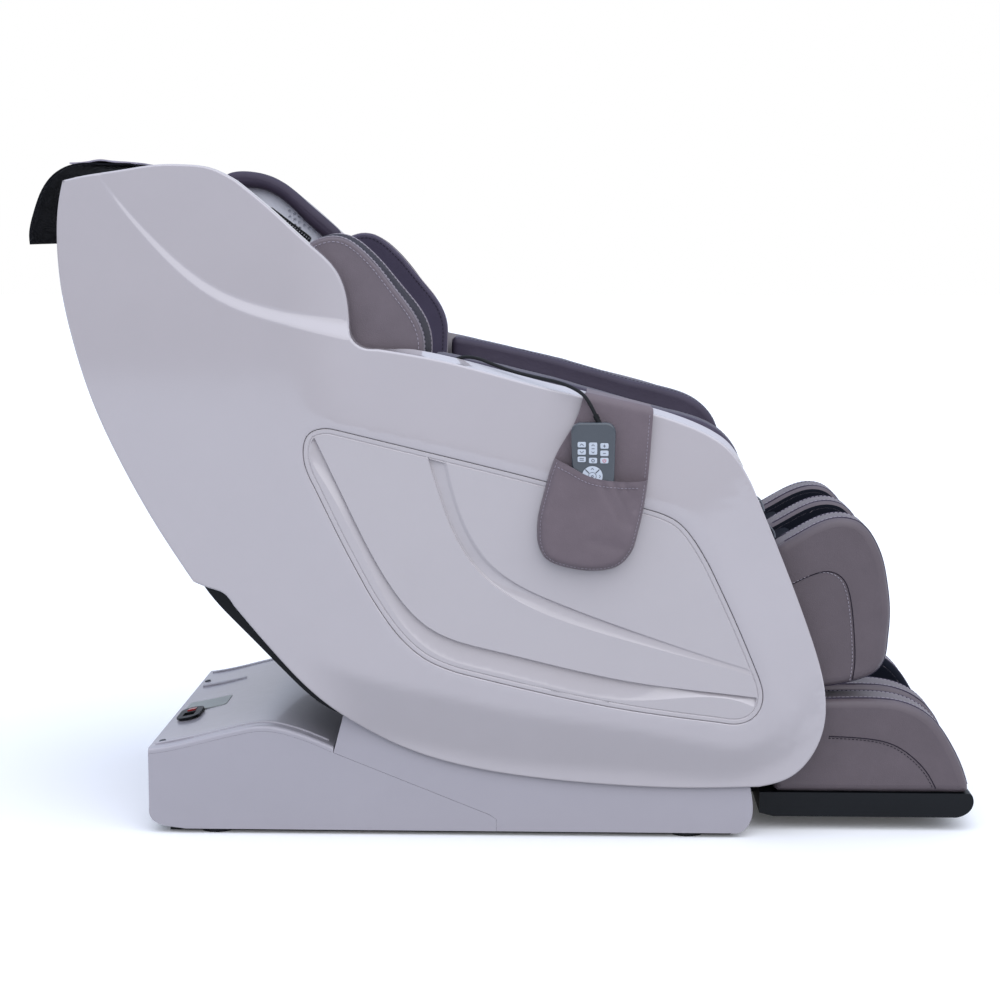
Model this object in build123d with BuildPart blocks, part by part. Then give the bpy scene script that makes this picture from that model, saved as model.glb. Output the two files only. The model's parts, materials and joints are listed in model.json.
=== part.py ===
"""Capsule massage chair: a reclining shell with seat, legrest and roller carriage on a floor base.

Millimetres. +X is the way the sitter faces, +Z is up, and the sitter's right side is at -Y.
The origin is on the floor, under the middle of the chair.
"""

import os
from math import atan2, cos, degrees, hypot, pi, radians, sin, tan

from build123d import *

# ---------------------------------------------------------------- driving dimensions
half_width = 390          # middle plane to the outermost point of a side shell
shell_depth = 50          # from a side shell's open edge to its outermost point
shell_wall = 4
crown_radius = 9000       # ball that the side shells' faces are cut from
crown_x = -80
crown_z = 600
wing_step = 14            # depth of the step along the wing's lower edge
rest_gap = 0.3            # between pieces that sit against each other
panel_thickness = 10
panel_recess = 2
channel_depth = 6
boss_radius = 14
liner_boss_radius = 9

armrest_width = 88        # from a side shell's open edge to the armrest pad's inner face
pad_gap = 7               # between an armrest pad's upper part and the side shell
liner_thickness = 12
trim_width = 26
trim_height = 26
shoulder_thickness = 95

hip_x = -180              # where the seat's top meets the backrest's front
hip_z = 378
back_lean = 30.3          # degrees from upright
seat_slope = 12.2         # degrees from level
seat_length = 606
seat_thickness = 90
seat_gap = 4              # between the seat pad and an armrest pad
back_length = 868
back_thickness = 55
back_gap = 20             # between the back pad and a side shell's open edge
pillow_thickness = 62
pillow_half_width = 150
flap_half_width = 190
flap_thickness = 5
pan_thickness = 6
cover_wall = 4
cover_bulge = 28          # how far the back cover stands out behind the side shells

tilt_x = -166             # axle on which the whole seat capsule reclines
tilt_z = 193
tilt_pin_radius = 10
tilt_lever = 100          # from that axle down to the actuator's pin
pin_clearance = 0.05      # radial, in each running fit
leg_x = 440               # pivot of the legrest
leg_z = 500
leg_pin_radius = 8
leg_lever = 100
leg_range = 75            # degrees of legrest travel
actuator_radius = 22
rod_radius = 7
link_pin_radius = 6
open_pivot_play = 1.5     # radial, where the recline linkage is left open
slot_play = 3.4           # beside the pin in the legrest lever's slot

rail_inner = 150          # middle plane to the open side of a guide rail
rail_depth = 26
rail_height = 34
rail_wall = 3
post_width = 22
post_depth = 36
carriage_place = 330      # its middle along the backrest at rest
roller_radius = 32
roller_width = 24
roller_axle_radius = 6

base_gap = 5              # from the base's side to a side shell's open edge
base_wall = 3
base_rear = -600
base_front = 433
base_lift = 8             # from the floor to the edge of the base covers
foot_height = 20
foot_radius = 32
base_tube = 30

calf_rear = 457
calf_plate = 6
leg_gap = 60              # from the calf unit's side to a side shell's open edge
ridge_width = 90          # of an outer ridge
middle_ridge = 92
slide_rod_radius = 6
foot_roller_radius = 20

pouch_layer = 3
handset_width = 74
handset_length = 156
handset_thickness = 22
handset_x = 156
handset_top = 715
key_depth = 4
key_proud = 1
key_gap = 0.2
key_room = 1              # under a key, for its travel

cord_radius = 3
clip_half_width = 8
clip_length = 16

shell_edge = half_width - shell_depth
tube_outer = shell_edge - 10
tube_width = 25
tube_inner = tube_outer - tube_width
tube_height = 40
tube_wall = 2.5
far_out = half_width + 20
pad_inner = shell_edge - armrest_width
seat_half_width = pad_inner - seat_gap
back_half_width = shell_edge - back_gap
base_half_width = shell_edge - base_gap
leg_half_width = shell_edge - leg_gap


# ---------------------------------------------------------------- helpers
def side_plane(distance):
    """Upright plane that far to the sitter's right: local x is forward, local y is up."""
    return Plane.XZ.offset(distance)


def prism(points, inner, outer, mode=Mode.ADD):
    """Straight-sided outline in the side view, between two distances to the sitter's right."""
    with BuildSketch(side_plane(inner)) as outline:
        Polygon(*points, align=None)
    return extrude(outline.sketch, amount=outer - inner, mode=mode)


def grown(curves, amount):
    """Closed outline of curves, moved outward by amount all round, or inward if it is negative."""
    points = [point for curve in curves for point in curve[:-1]]
    count = len(points)
    doubled_area = sum(x0 * z1 - x1 * z0 for (x0, z0), (x1, z1) in zip(points, points[1:] + points[:1]))
    hand = amount if doubled_area < 0 else -amount
    moved = []
    for i, (x, z) in enumerate(points):
        before = Vector(x - points[i - 1][0], z - points[i - 1][1]).normalized()
        after = Vector(points[(i + 1) % count][0] - x, points[(i + 1) % count][1] - z).normalized()
        square = Vector(-before.Y - after.Y, before.X + after.X)
        reach = 2 * hand / max(square.length**2, 0.8)
        moved.append((x + square.X * reach, z + square.Y * reach))
    result = []
    start = 0
    for curve in curves:
        end = start + len(curve) - 1
        result.append([moved[i % count] for i in range(start, end + 1)])
        start = end
    return result


def curved_prism(curves, inner, outer, mode=Mode.ADD, grow=0):
    """Outline of splines and lines in the side view, between two distances to the right."""
    with BuildSketch(side_plane(inner)) as outline:
        with BuildLine():
            for points in grown(curves, grow) if grow else curves:
                if len(points) == 2:
                    Line(*points)
                else:
                    Spline(*points)
        make_face()
    return extrude(outline.sketch, amount=outer - inner, mode=mode)


def pin(place, radius, inner, outer, mode=Mode.ADD):
    """Round bar across the chair, between two distances to the sitter's right."""
    with BuildSketch(side_plane(inner)) as outline:
        with Locations(place):
            Circle(radius)
    return extrude(outline.sketch, amount=outer - inner, mode=mode)


def bar(start, end, radius, distance, mode=Mode.ADD):
    """Round bar between two points of the side view, that far to the sitter's right."""
    run = Vector(end[0] - start[0], 0, end[1] - start[1])
    section_plane = Plane(origin=(start[0], -distance, start[1]), x_dir=(0, 1, 0), z_dir=run)
    with BuildSketch(section_plane) as section:
        Circle(radius)
    return extrude(section.sketch, amount=run.length, mode=mode)


def crown(inset, mode):
    """Ball whose right-hand face is the crowned face of the side shells, drawn in by inset."""
    with Locations((crown_x, crown_radius - half_width, crown_z)):
        return Sphere(crown_radius - inset, mode=mode)


def slope_point(origin, degrees_up, along, above):
    """Point in the side view, in a frame that climbs forward from origin."""
    slope = radians(degrees_up)
    x = origin[0] + along * cos(slope) - above * sin(slope)
    z = origin[1] + along * sin(slope) + above * cos(slope)
    return (x, z)


def seat_point(along, above):
    """Point in the side view: forward along the seat's top from the hip, and above it."""
    return slope_point((hip_x, hip_z), seat_slope, along, above)


def back_point(along, ahead):
    """Point in the side view: up the backrest from the hip, and ahead of its front face."""
    return slope_point((hip_x, hip_z), 90 + back_lean, along, -ahead)


def box_of(point, along, across):
    """Four corners of a box given in a sloping frame by its two ranges."""
    (a0, a1), (b0, b1) = along, across
    return [point(a0, b0), point(a1, b0), point(a1, b1), point(a0, b1)]


def moved_out(points, amounts):
    """Points of an open outline, each moved square to it by its own amount."""
    result = []
    for i, (x, z) in enumerate(points):
        before = points[max(i - 1, 0)]
        after = points[min(i + 1, len(points) - 1)]
        run_x = after[0] - before[0]
        run_z = after[1] - before[1]
        run = hypot(run_x, run_z)
        result.append((x - run_z / run * amounts[i], z + run_x / run * amounts[i]))
    return result


# ---------------------------------------------------------------- route of the handset's cord
pouch_back = half_width + 1
handset_back = pouch_back + rest_gap
handset_front = handset_back + handset_thickness
relief_distance = handset_back + handset_thickness / 2

# Route of the handset's cord, from the clip in the armrest's cleft to its relief.
cord_points = [
    (-110, -half_width + 53.5, 776),
    (-93, -half_width + 53.5, 798),
    (-70, -half_width + 53.5, 817),
    (-40, -half_width + 47, 818),
    (-8, -half_width + 40, 805),
    (28, -half_width + 32, 793),
    (66, -half_width + 23, 785),
    (102, -half_width + 11, 778),
    (130, -half_width - 3, 767),
    (147, -relief_distance, 753),
    (159, -relief_distance, handset_top + 12),
]


# ---------------------------------------------------------------- side shells and their panels
rear_edge = [(-511, 443), (-567, 529), (-632, 646), (-677, 746), (-706, 845), (-724, 944), (-729, 1030)]
rear_corner = [(-729, 1030), (-726, 1090), (-712, 1109), (-690, 1115)]
wing_top = [(-690, 1115), (-625, 1125), (-558, 1134), (-520, 1134), (-476, 1129), (-432, 1108)]
wing_front = [(-432, 1108), (-378, 1064), (-313, 1005), (-270, 962), (-254, 924), (-248, 880)]
pad_notch = [(-248, 880), (-242, 848), (-226, 835), (-199, 832)]
arm_top = [(-199, 832), (-100, 815), (66, 772), (257, 726), (330, 700), (379, 669), (419, 609)]
arm_front = [
    (419, 609), (467, 495), (519, 360), (545, 272), (549, 205), (530, 148), (489, 106), (440, 91),
]
belly = [
    (440, 91), (325, 88), (196, 92), (67, 103), (-54, 122), (-170, 158), (-264, 213), (-339, 282),
    (-443, 403),
]
rear_step = [(-443, 403), (-460, 424), (-482, 432), (-511, 443)]
shell_curves = [
    rear_edge, rear_corner, wing_top, wing_front, pad_notch, arm_top, arm_front, belly, rear_step,
]

panel_curves = [
    [(-282, 703), (-127, 666), (76, 616), (262, 565)],
    [(262, 565), (296, 549), (322, 521), (351, 473)],
    [(351, 473), (397, 375), (433, 290)],
    [(433, 290), (443, 250), (430, 217), (402, 204), (370, 207)],
    [(370, 207), (226, 227), (67, 259), (-70, 292)],
    [(-70, 292), (-120, 313), (-160, 346), (-217, 427)],
    [(-217, 427), (-261, 511), (-304, 600)],
    [(-304, 600), (-324, 655), (-314, 694), (-282, 703)],
]

# Two sweeping channels part the panel into a leaf, a middle band and a lower band.
low_channel_upper = [
    (-302, 682), (-246, 564), (-180, 440), (-113, 367), (-10, 331), (226, 277), (424, 251),
]
low_channel_lower = [
    (424, 236), (226, 246), (67, 275), (-25, 298), (-100, 322), (-150, 362), (-200, 440), (-296, 630),
]
high_channel_lower = [(-117, 654), (-98, 591), (-39, 472), (50, 406), (161, 364), (417, 290)]
high_channel_upper = [(417, 300), (264, 351), (100, 412), (-9, 475), (-68, 582), (-84, 646)]

swoosh = [(-668, 1122), (-629, 1069), (-568, 998), (-507, 941), (-459, 910), (-366, 876), (-246, 848)]


def wing_surface(inset, mode):
    """Ball that cuts the wing back: level with the crown at the top rear, a step below it in front."""
    run_x = swoosh[0][0] - swoosh[-1][0]
    run_z = swoosh[0][1] - swoosh[-1][1]
    shift = wing_step * crown_radius / hypot(run_x, run_z)
    shift_x = shift * run_x / hypot(run_x, run_z)
    shift_z = shift * run_z / hypot(run_x, run_z)
    reach = (swoosh[0][0] - crown_x) * shift_x + (swoosh[0][1] - crown_z) * shift_z
    level = (2 * reach - shift * shift) / (2 * crown_radius)
    with Locations((crown_x + shift_x, crown_radius - half_width + level, crown_z + shift_z)):
        return Sphere(crown_radius - inset, mode=mode)


def wing_block(inset):
    """What is cut off the wing's face above the swoosh; inset moves the cut inward and down."""
    lower = [(x, z - inset) for x, z in swoosh]
    above = [(lower[-1][0], 900), (-200, 900), (-200, 1200), (-800, 1200), (-800, lower[0][1])]
    sides = [lower, [lower[-1], above[0]], *zip(above, above[1:]), [above[-1], lower[0]]]
    with BuildPart() as block:
        curved_prism(sides, shell_edge - 2, far_out)
        wing_surface(inset, Mode.SUBTRACT)
    return block.part


def crowned_plate(curves, outer_inset, inner_inset, grow=0):
    """Plate that follows the side shell's crown, between two depths below it."""
    with BuildPart() as plate:
        curved_prism(curves, shell_edge - 5, far_out, grow=grow)
        crown(outer_inset, Mode.INTERSECT)
        crown(inner_inset, Mode.SUBTRACT)
    return plate.part


panel_back = panel_recess + panel_thickness
boss_places = [seat_point(150, -seat_thickness - 26), seat_point(480, -seat_thickness - 26)]
wing_cut = wing_block(0)
inner_wing_cut = wing_block(shell_wall)
pocket_wall = crowned_plate(panel_curves, shell_wall / 2, panel_back + shell_wall, grow=shell_wall)
pocket_room = crowned_plate(panel_curves, -5, panel_back, grow=rest_gap)

with BuildPart() as hollow:
    curved_prism(shell_curves, shell_edge - 1, far_out, grow=-shell_wall)
    crown(shell_wall, Mode.INTERSECT)
    add(inner_wing_cut, mode=Mode.SUBTRACT)

with BuildPart() as bosses:
    for place in boss_places:
        pin(place, boss_radius, tube_outer + rest_gap, far_out)
    crown(panel_back + shell_wall / 2, Mode.INTERSECT)

# The wing's liner is screwed to these, two above the swoosh and two below it.
with BuildPart() as upper_liner_bosses:
    for place in ((-590, 1060), (-380, 960)):
        pin(place, liner_boss_radius, shell_edge, far_out)
    wing_surface(shell_wall / 2, Mode.INTERSECT)

with BuildPart() as lower_liner_bosses:
    for place in ((-620, 850), (-330, 790)):
        pin(place, liner_boss_radius, shell_edge, far_out)
    crown(shell_wall / 2, Mode.INTERSECT)

# Clip in the cleft beside the armrest pad, where the handset's cord comes out.
first_run = (Vector(*cord_points[1]) - Vector(*cord_points[0])).normalized()
clip_side = Vector(-first_run.Z, first_run.X) * clip_half_width
clip_back = Vector(first_run.X, first_run.Z) * -clip_length
clip_face = Vector(cord_points[0][0], cord_points[0][2])
clip_ends = (clip_face, clip_face + clip_back)
clip = [
    clip_ends[0] + clip_side, clip_ends[0] - clip_side, clip_ends[1] - clip_side, clip_ends[1] + clip_side,
]

with BuildPart() as side_shell_right:
    curved_prism(shell_curves, shell_edge, far_out)
    crown(0, Mode.INTERSECT)
    add(wing_cut, mode=Mode.SUBTRACT)
    add(hollow.part, mode=Mode.SUBTRACT)
    # The panel lies in a dished pocket, and bosses behind it carry the shell on the seat frame.
    add(pocket_wall)
    add(pocket_room, mode=Mode.SUBTRACT)
    add([bosses.part, upper_liner_bosses.part, lower_liner_bosses.part])
    # The cord's clip hangs on a tongue from the shell's upper wall.
    prism([(corner.X, corner.Y) for corner in clip], shell_edge - pad_gap + rest_gap, shell_edge + 3)
    prism([(-136, 766), (-114, 766), (-114, 816), (-136, 820)], shell_edge, shell_edge + 3)

low_channel = [
    low_channel_upper,
    [low_channel_upper[-1], low_channel_lower[0]],
    low_channel_lower,
    [low_channel_lower[-1], low_channel_upper[0]],
]
high_channel = [
    high_channel_lower,
    [high_channel_lower[-1], high_channel_upper[0]],
    high_channel_upper,
    [high_channel_upper[-1], high_channel_lower[0]],
]
panel_body = crowned_plate(panel_curves, panel_recess, panel_back - rest_gap)
channels = [
    crowned_plate(sides, -5, panel_recess + channel_depth) for sides in (low_channel, high_channel)
]

with BuildPart() as side_panel_right:
    add(panel_body)
    for channel in channels:
        add(channel, mode=Mode.SUBTRACT)

# ---------------------------------------------------------------- armrests, wings, shoulder pads
armrest_curves = [
    [(-106, 831), (0, 813), (117, 784), (235, 752), (352, 718), (396, 692), (414, 648)],
    [(414, 648), (425, 600), (425, 562), (410, 537), (385, 530)],
    [(385, 530), (-60, 530)],
    [(-60, 530), (-106, 570)],
    [(-106, 570), (-106, 831)],
]
cleft_floor = 640

with BuildPart() as armrest_pad_right:
    curved_prism(armrest_curves, pad_inner, shell_edge - rest_gap)
    # The upper part stands off the shell, which leaves a cleft for the pouch's strap and the cord.
    cleft = [(-120, cleft_floor), (460, cleft_floor), (460, 900), (-120, 900)]
    prism(cleft, shell_edge - pad_gap, far_out, mode=Mode.SUBTRACT)

liner_low = [(-215, 800), (-300, 760), (-430, 742), (-600, 735), (-706, 845)]
liner_curves = [rear_edge[4:], rear_corner, wing_top, wing_front, pad_notch[:3]]
liner_curves += [[pad_notch[2], liner_low[0]], liner_low]
grille_middle = (-408, 1049)
liner_outer = shell_edge - rest_gap
liner_inner = liner_outer - liner_thickness

with BuildPart() as wing_liner_right:
    curved_prism(liner_curves, liner_inner, liner_outer, grow=-cover_wall - 3)
    with BuildSketch(side_plane(liner_inner)) as holes:
        with Locations(grille_middle):
            with HexLocations(radius=5.5, x_count=6, y_count=4):
                Circle(3, mode=Mode.ADD)
    extrude(holes.sketch, amount=liner_thickness / 2, mode=Mode.SUBTRACT)

trim_path = [(-520, 1126), (-476, 1121), (-432, 1100), (-378, 1056), (-335, 1018)]
trim_outer = liner_inner - rest_gap
trim_over = [(x, z + trim_height / 2) for x, z in trim_path]
trim_under = [(x, z - trim_height / 2) for x, z in trim_path[::-1]]

with BuildPart() as wing_trim_right:
    trim_curves = [trim_over, [trim_over[-1], trim_under[0]], trim_under, [trim_under[-1], trim_over[0]]]
    curved_prism(trim_curves, trim_outer - trim_width, trim_outer)

shoulder_front = [
    (-321, 1007), (-283, 1024), (-233, 1006), (-192, 961), (-159, 911), (-132, 878), (-121, 830),
    (-121, 780),
]
shoulder_back = [
    (-121, 780), (-133, 730), (-190, 705), (-290, 735), (-352, 820), (-366, 900), (-350, 975),
    (-321, 1007),
]

with BuildPart() as shoulder_pad_right:
    curved_prism([shoulder_front, shoulder_back], trim_outer - shoulder_thickness, trim_outer)

# ---------------------------------------------------------------- cushions
with BuildPart() as seat_pad:
    with BuildSketch(Plane.XZ) as side:
        Polygon(*box_of(seat_point, (4, seat_length), (-seat_thickness, 0)), align=None)
        fillet(side.vertices().group_by(Axis.X)[-1], radius=seat_thickness * 0.25)
    extrude(side.sketch, amount=seat_half_width, both=True)

with BuildPart() as back_pad:
    with BuildSketch(Plane.XZ) as side:
        Polygon(*box_of(back_point, (6, back_length), (-back_thickness, 0)), align=None)
        fillet(side.vertices().sort_by(Axis.Y)[-2:], radius=back_thickness * 0.4)
    extrude(side.sketch, amount=back_half_width, both=True)

pillow_span = (590, 800)

flap_rise = [back_point(back_length - short, flap_thickness / 2 + rest_gap) for short in (62, 20)]
flap_curve = [
    *flap_rise, (-632, 1138), (-668, 1141), (-706, 1141), (-745, 1135), (-778, 1112), (-797, 1072),
    (-805, 1000),
]

with BuildPart() as flap:
    over = moved_out(flap_curve, [-flap_thickness / 2] * len(flap_curve))
    under = moved_out(flap_curve, [flap_thickness / 2] * len(flap_curve))
    sides = [over, [over[-1], under[-1]], under[::-1], [under[0], over[0]]]
    curved_prism(sides, -flap_half_width, flap_half_width)

with BuildPart() as head_pillow:
    with BuildSketch(Plane.XZ) as side:
        Polygon(*box_of(back_point, pillow_span, (rest_gap, pillow_thickness)), align=None)
        fillet(side.vertices(), radius=pillow_thickness * 0.3)
    extrude(side.sketch, amount=pillow_half_width, both=True)
    add(flap.part)

# ---------------------------------------------------------------- seat frame
post_inner = rail_inner + rail_depth + 4
post_outer = post_inner + post_width
post_front = -back_thickness - rest_gap
rail_front = post_front - post_depth
rail_rear = rail_front - rail_height
rail_span = (22, 742)
post_top = back_length - 68
cross_width = 30
pan_top = -seat_thickness - rest_gap
tube_top = pan_top - pan_thickness
hip_block = [(-228, 238), (-160, 238), (-160, 288), (-228, 288)]
axle_place = (tilt_x, tilt_z)
axle_radius = 20
ear_thickness = 8
tilt_ear_outer = tube_inner - 5
upright_inner = tilt_ear_outer + 3
upright_thickness = 10
lever_place = (tilt_x, tilt_z - tilt_lever)
lever_half = 6
leg_pivot = (leg_x, leg_z)
leg_ear_outer = tube_inner + ear_thickness
leg_actuator_y = tube_inner - 69
eye_half = 8

# The legrest's lever swings either side of the middle of the actuator's stroke.
lever_lean = 5.7
stroke_lean = radians(leg_range / 2 - lever_lean)
stroke_middle = leg_lever * cos(radians(leg_range / 2))
half_stroke = stroke_middle * tan(radians(leg_range / 2))


def rod_point(travel, aside=0):
    """Point on the leg actuator's line: distance from mid-stroke, and to its upper side."""
    middle = slope_point(leg_pivot, degrees(stroke_lean) - 90, stroke_middle, 0)
    return slope_point(middle, degrees(stroke_lean), travel, aside)


rod_tip = -half_stroke
leg_body = (rod_tip - 222, rod_tip - 34)
leg_mount = rod_point(leg_body[0] - 16)
air_pump_span = (150, 330)
air_pump_height = 74
cover_curve = [(-516, 440), (-483, 394), (-442, 351), (-402, 310), (-361, 268), (-319, 229), (-268, 201)]
lower_cover_wall = 3

with BuildPart() as seat_frame:
    # Side tubes, seat pan and cross members.
    prism(
        box_of(seat_point, (-30, seat_length - 22), (tube_top - tube_height, tube_top)), tube_inner,
        tube_outer,
    )
    bore = box_of(
        seat_point, (-31, seat_length - 21), (tube_top - tube_height + tube_wall, tube_top - tube_wall),
    )
    prism(bore, tube_inner + tube_wall, tube_outer - tube_wall, Mode.SUBTRACT)
    # Ears for the legrest's pins.
    ear = [
        seat_point(530, tube_top), seat_point(584, tube_top - tube_height), (leg_x + 21, leg_z - 8),
        (leg_x - 16, leg_z + 16),
    ]
    prism(ear, tube_inner, leg_ear_outer)
    pin(leg_pivot, leg_pin_radius + 14, tube_inner, leg_ear_outer)
    pin(leg_pivot, leg_pin_radius + pin_clearance, tube_inner - 1, leg_ear_outer + 1, Mode.SUBTRACT)
    # Ears and pins of the recline axle.
    tilt_ear = [(-228, 250), (-160, 250), (tilt_x + 24, tilt_z), (tilt_x - 24, tilt_z)]
    prism(tilt_ear, tilt_ear_outer - ear_thickness, tilt_ear_outer)
    pin(axle_place, axle_radius + 4, tilt_ear_outer - ear_thickness, tilt_ear_outer)
    pin(axle_place, tilt_pin_radius, tilt_ear_outer, upright_inner + upright_thickness)
    # Posts of the backrest.
    prism(box_of(back_point, (-110, post_top), (rail_front, post_front)), post_inner, post_outer)
    bore = box_of(back_point, (-100, post_top + 1), (rail_front + tube_wall, post_front - tube_wall))
    prism(bore, post_inner + tube_wall, post_outer - tube_wall, Mode.SUBTRACT)
    # Brackets that carry the lower back cover.
    chord = Vector(
        cover_curve[5][0] - cover_curve[4][0], cover_curve[5][1] - cover_curve[4][1],
    ).normalized()
    inward = Vector(-chord.Y, chord.X) * (lower_cover_wall + rest_gap)
    bracket_end = [(x + inward.X, z + inward.Y) for x, z in (cover_curve[5], cover_curve[4])]
    prism([(-220, 244), *bracket_end, (-220, 284)], post_inner, post_outer)
    mirror(about=Plane.XZ)
    prism(box_of(seat_point, (20, 540), (tube_top, pan_top)), -tube_outer, tube_outer)
    prism(box_of(seat_point, (400, 430), (tube_top - 24, tube_top)), -tube_outer, tube_outer)
    prism(hip_block, -tube_outer, tube_outer)
    hip_bore = [(-228 + tube_wall, 238 + tube_wall), (-160 - tube_wall, 238 + tube_wall)]
    hip_bore += [(-160 - tube_wall, 288 - tube_wall), (-228 + tube_wall, 288 - tube_wall)]
    prism(hip_bore, -tube_outer - 1, tube_outer + 1, Mode.SUBTRACT)
    pin(axle_place, axle_radius, -tilt_ear_outer, tilt_ear_outer)
    pin(
        axle_place, axle_radius - tube_wall, -tilt_ear_outer + ear_thickness,
        tilt_ear_outer - ear_thickness, Mode.SUBTRACT,
    )
    for low in (rail_span[0] - cross_width, rail_span[1]):
        prism(
            box_of(back_point, (low, low + cross_width), (rail_rear, rail_front + 2)), -post_outer,
            post_outer,
        )
        bore = box_of(
            back_point, (low + tube_wall, low + cross_width - tube_wall),
            (rail_rear + tube_wall, rail_front - tube_wall),
        )
        prism(bore, -post_outer - 1, post_outer + 1, Mode.SUBTRACT)
    # Lever that the recline actuator pushes.
    prism(
        [
            (tilt_x - 18, tilt_z), (tilt_x + 18, tilt_z), (tilt_x + 14, lever_place[1]),
            (tilt_x - 14, lever_place[1]),
        ],
        -lever_half, lever_half,
    )
    pin(lever_place, 16, -lever_half, lever_half)
    pin(lever_place, link_pin_radius + open_pivot_play, -20, 20, Mode.SUBTRACT)
    # Hanger and pin of the leg actuator.
    hanger = [(leg_mount[0] - 16, leg_mount[1] - 12), (leg_mount[0] + 8, leg_mount[1] - 12)]
    hanger += [seat_point(380, tube_top), seat_point(350, tube_top)]
    for inner in (leg_actuator_y - eye_half - 9, leg_actuator_y + eye_half + 1):
        prism(hanger, inner, inner + ear_thickness)
    pin(leg_mount, link_pin_radius, leg_actuator_y - eye_half - 9, leg_actuator_y + eye_half + 9)

slot_pitch = 18
slot_count = int((rail_span[1] - rail_span[0]) / slot_pitch) - 1

with BuildPart() as guide_rails:
    prism(box_of(back_point, rail_span, (rail_rear, rail_front)), rail_inner, rail_inner + rail_depth)
    channel = box_of(back_point, rail_span, (rail_rear + rail_wall, rail_front - rail_wall))
    prism(channel, rail_inner - 1, rail_inner + rail_depth - rail_wall, Mode.SUBTRACT)
    # The web is punched for the drive pinions.
    for i in range(slot_count):
        start = rail_span[0] + slot_pitch * (i + 1)
        slot = box_of(back_point, (start, start + slot_pitch / 2), (rail_rear + 11, rail_front - 11))
        prism(slot, rail_inner + rail_depth - rail_wall - 1, far_out, Mode.SUBTRACT)
    mirror(about=Plane.XZ)

# ---------------------------------------------------------------- massage carriage and rollers
wheel_radius = (rail_height - 2 * rail_wall) / 2 - rest_gap
wheel_ahead = (rail_front + rail_rear) / 2
wheel_offset = 55
roller_ahead = post_front - 3 - roller_radius
roller_offset = 52
roller_inner = 52
carriage_half = 130
carriage_length = 140
arm_thickness = 8


def carriage_point(along, ahead):
    """Point in the side view, from the carriage's middle."""
    return back_point(carriage_place + along, ahead)


with BuildPart() as massage_carriage:
    prism(
        box_of(carriage_point, (-carriage_length / 2, carriage_length / 2), (-168, -126)), -carriage_half,
        carriage_half,
    )
    fillet(massage_carriage.edges().filter_by(Axis.Y), radius=8)
    for side in (-1, 1):
        for offset_along in (-1, 1):
            wheel = carriage_point(offset_along * wheel_offset, wheel_ahead)
            pin(wheel, 7, side * (carriage_half - 30), side * (rail_inner + rail_depth - rail_wall - 1))
            pin(
                wheel, wheel_radius, side * (rail_inner + 2),
                side * (rail_inner + rail_depth - rail_wall - 1),
            )
            bearer = box_of(
                carriage_point, (offset_along * wheel_offset - 12, offset_along * wheel_offset + 12),
                (-130, wheel_ahead + 10),
            )
            prism(bearer, side * (carriage_half - 30), side * (carriage_half - 18))
            axle = carriage_point(offset_along * roller_offset, roller_ahead)
            arm = box_of(
                carriage_point, (offset_along * roller_offset - 12, offset_along * roller_offset + 12),
                (-130, roller_ahead),
            )
            prism(arm, side * (roller_inner - rest_gap - arm_thickness), side * (roller_inner - rest_gap))
            pin(
                axle, 12, side * (roller_inner - rest_gap - arm_thickness),
                side * (roller_inner - rest_gap),
            )
            pin(
                axle, roller_axle_radius, side * (roller_inner - 2),
                side * (roller_inner + roller_width + 4),
            )


def roller(side, offset_along):
    """Kneading roller with a rounded tread, on its axle on one side of the carriage."""
    place = carriage_point(offset_along * roller_offset, roller_ahead)
    with BuildPart() as wheel:
        pin(place, roller_radius, side * roller_inner, side * (roller_inner + roller_width))
        fillet(wheel.edges(), radius=9)
        pin(
            place, roller_axle_radius + pin_clearance, side * (roller_inner - 1),
            side * (roller_inner + roller_width + 1), Mode.SUBTRACT,
        )
    return wheel


roller_upper_right = roller(1, 1)
roller_lower_right = roller(1, -1)
roller_upper_left = roller(-1, 1)
roller_lower_left = roller(-1, -1)

# ---------------------------------------------------------------- back covers
back_curve = rear_edge + rear_corner[1:]
bulge_share = [sin(pi * i / (len(back_curve) - 1)) for i in range(len(back_curve))]
cover_edge = shell_edge - rest_gap


def cover_section(distance, bulge):
    """Section of the back cover on the upright plane that far to the right."""
    outer = moved_out(back_curve, [bulge * share - rest_gap for share in bulge_share])
    inner = moved_out(back_curve, [bulge * share - rest_gap - cover_wall for share in bulge_share])
    with BuildSketch(side_plane(distance)) as section:
        with BuildLine():
            Spline(*outer)
            Line(outer[-1], inner[-1])
            Spline(*inner[::-1])
            Line(inner[0], outer[0])
        make_face()
    return section.sketch


with BuildPart() as back_cover:
    stations = [(-1, 0), (-0.7, 0.62), (0, 1), (0.7, 0.62), (1, 0)]
    loft([cover_section(share * cover_edge, cover_bulge * height) for share, height in stations])

lower_cover_half = shell_edge - 40

with BuildPart() as lower_back_cover:
    inner_curve = moved_out(cover_curve, [lower_cover_wall] * len(cover_curve))
    sides = [
        cover_curve, [cover_curve[-1], inner_curve[-1]], inner_curve[::-1],
        [inner_curve[0], cover_curve[0]],
    ]
    curved_prism(sides, -lower_cover_half, lower_cover_half)
    # Side cheeks close it towards the shells.
    rim = [
        cover_curve, [cover_curve[-1], (-250, 236)], [(-250, 236), (-478, 452)],
        [(-478, 452), cover_curve[0]],
    ]
    for inner in (-lower_cover_half, lower_cover_half - lower_cover_wall):
        curved_prism(rim, inner, inner + lower_cover_wall)

# ---------------------------------------------------------------- recline and legrest actuators
tilt_mount = (-480, 85)
tilt_run = hypot(lever_place[0] - tilt_mount[0], lever_place[1] - tilt_mount[1])
tilt_rise = degrees(atan2(lever_place[1] - tilt_mount[1], lever_place[0] - tilt_mount[0]))
tilt_body = (18, 246)
tilt_rod_inside = 150
cheek_inner = lever_half + 1
cheek_thickness = 6
tilt_eye_half = 12


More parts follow.
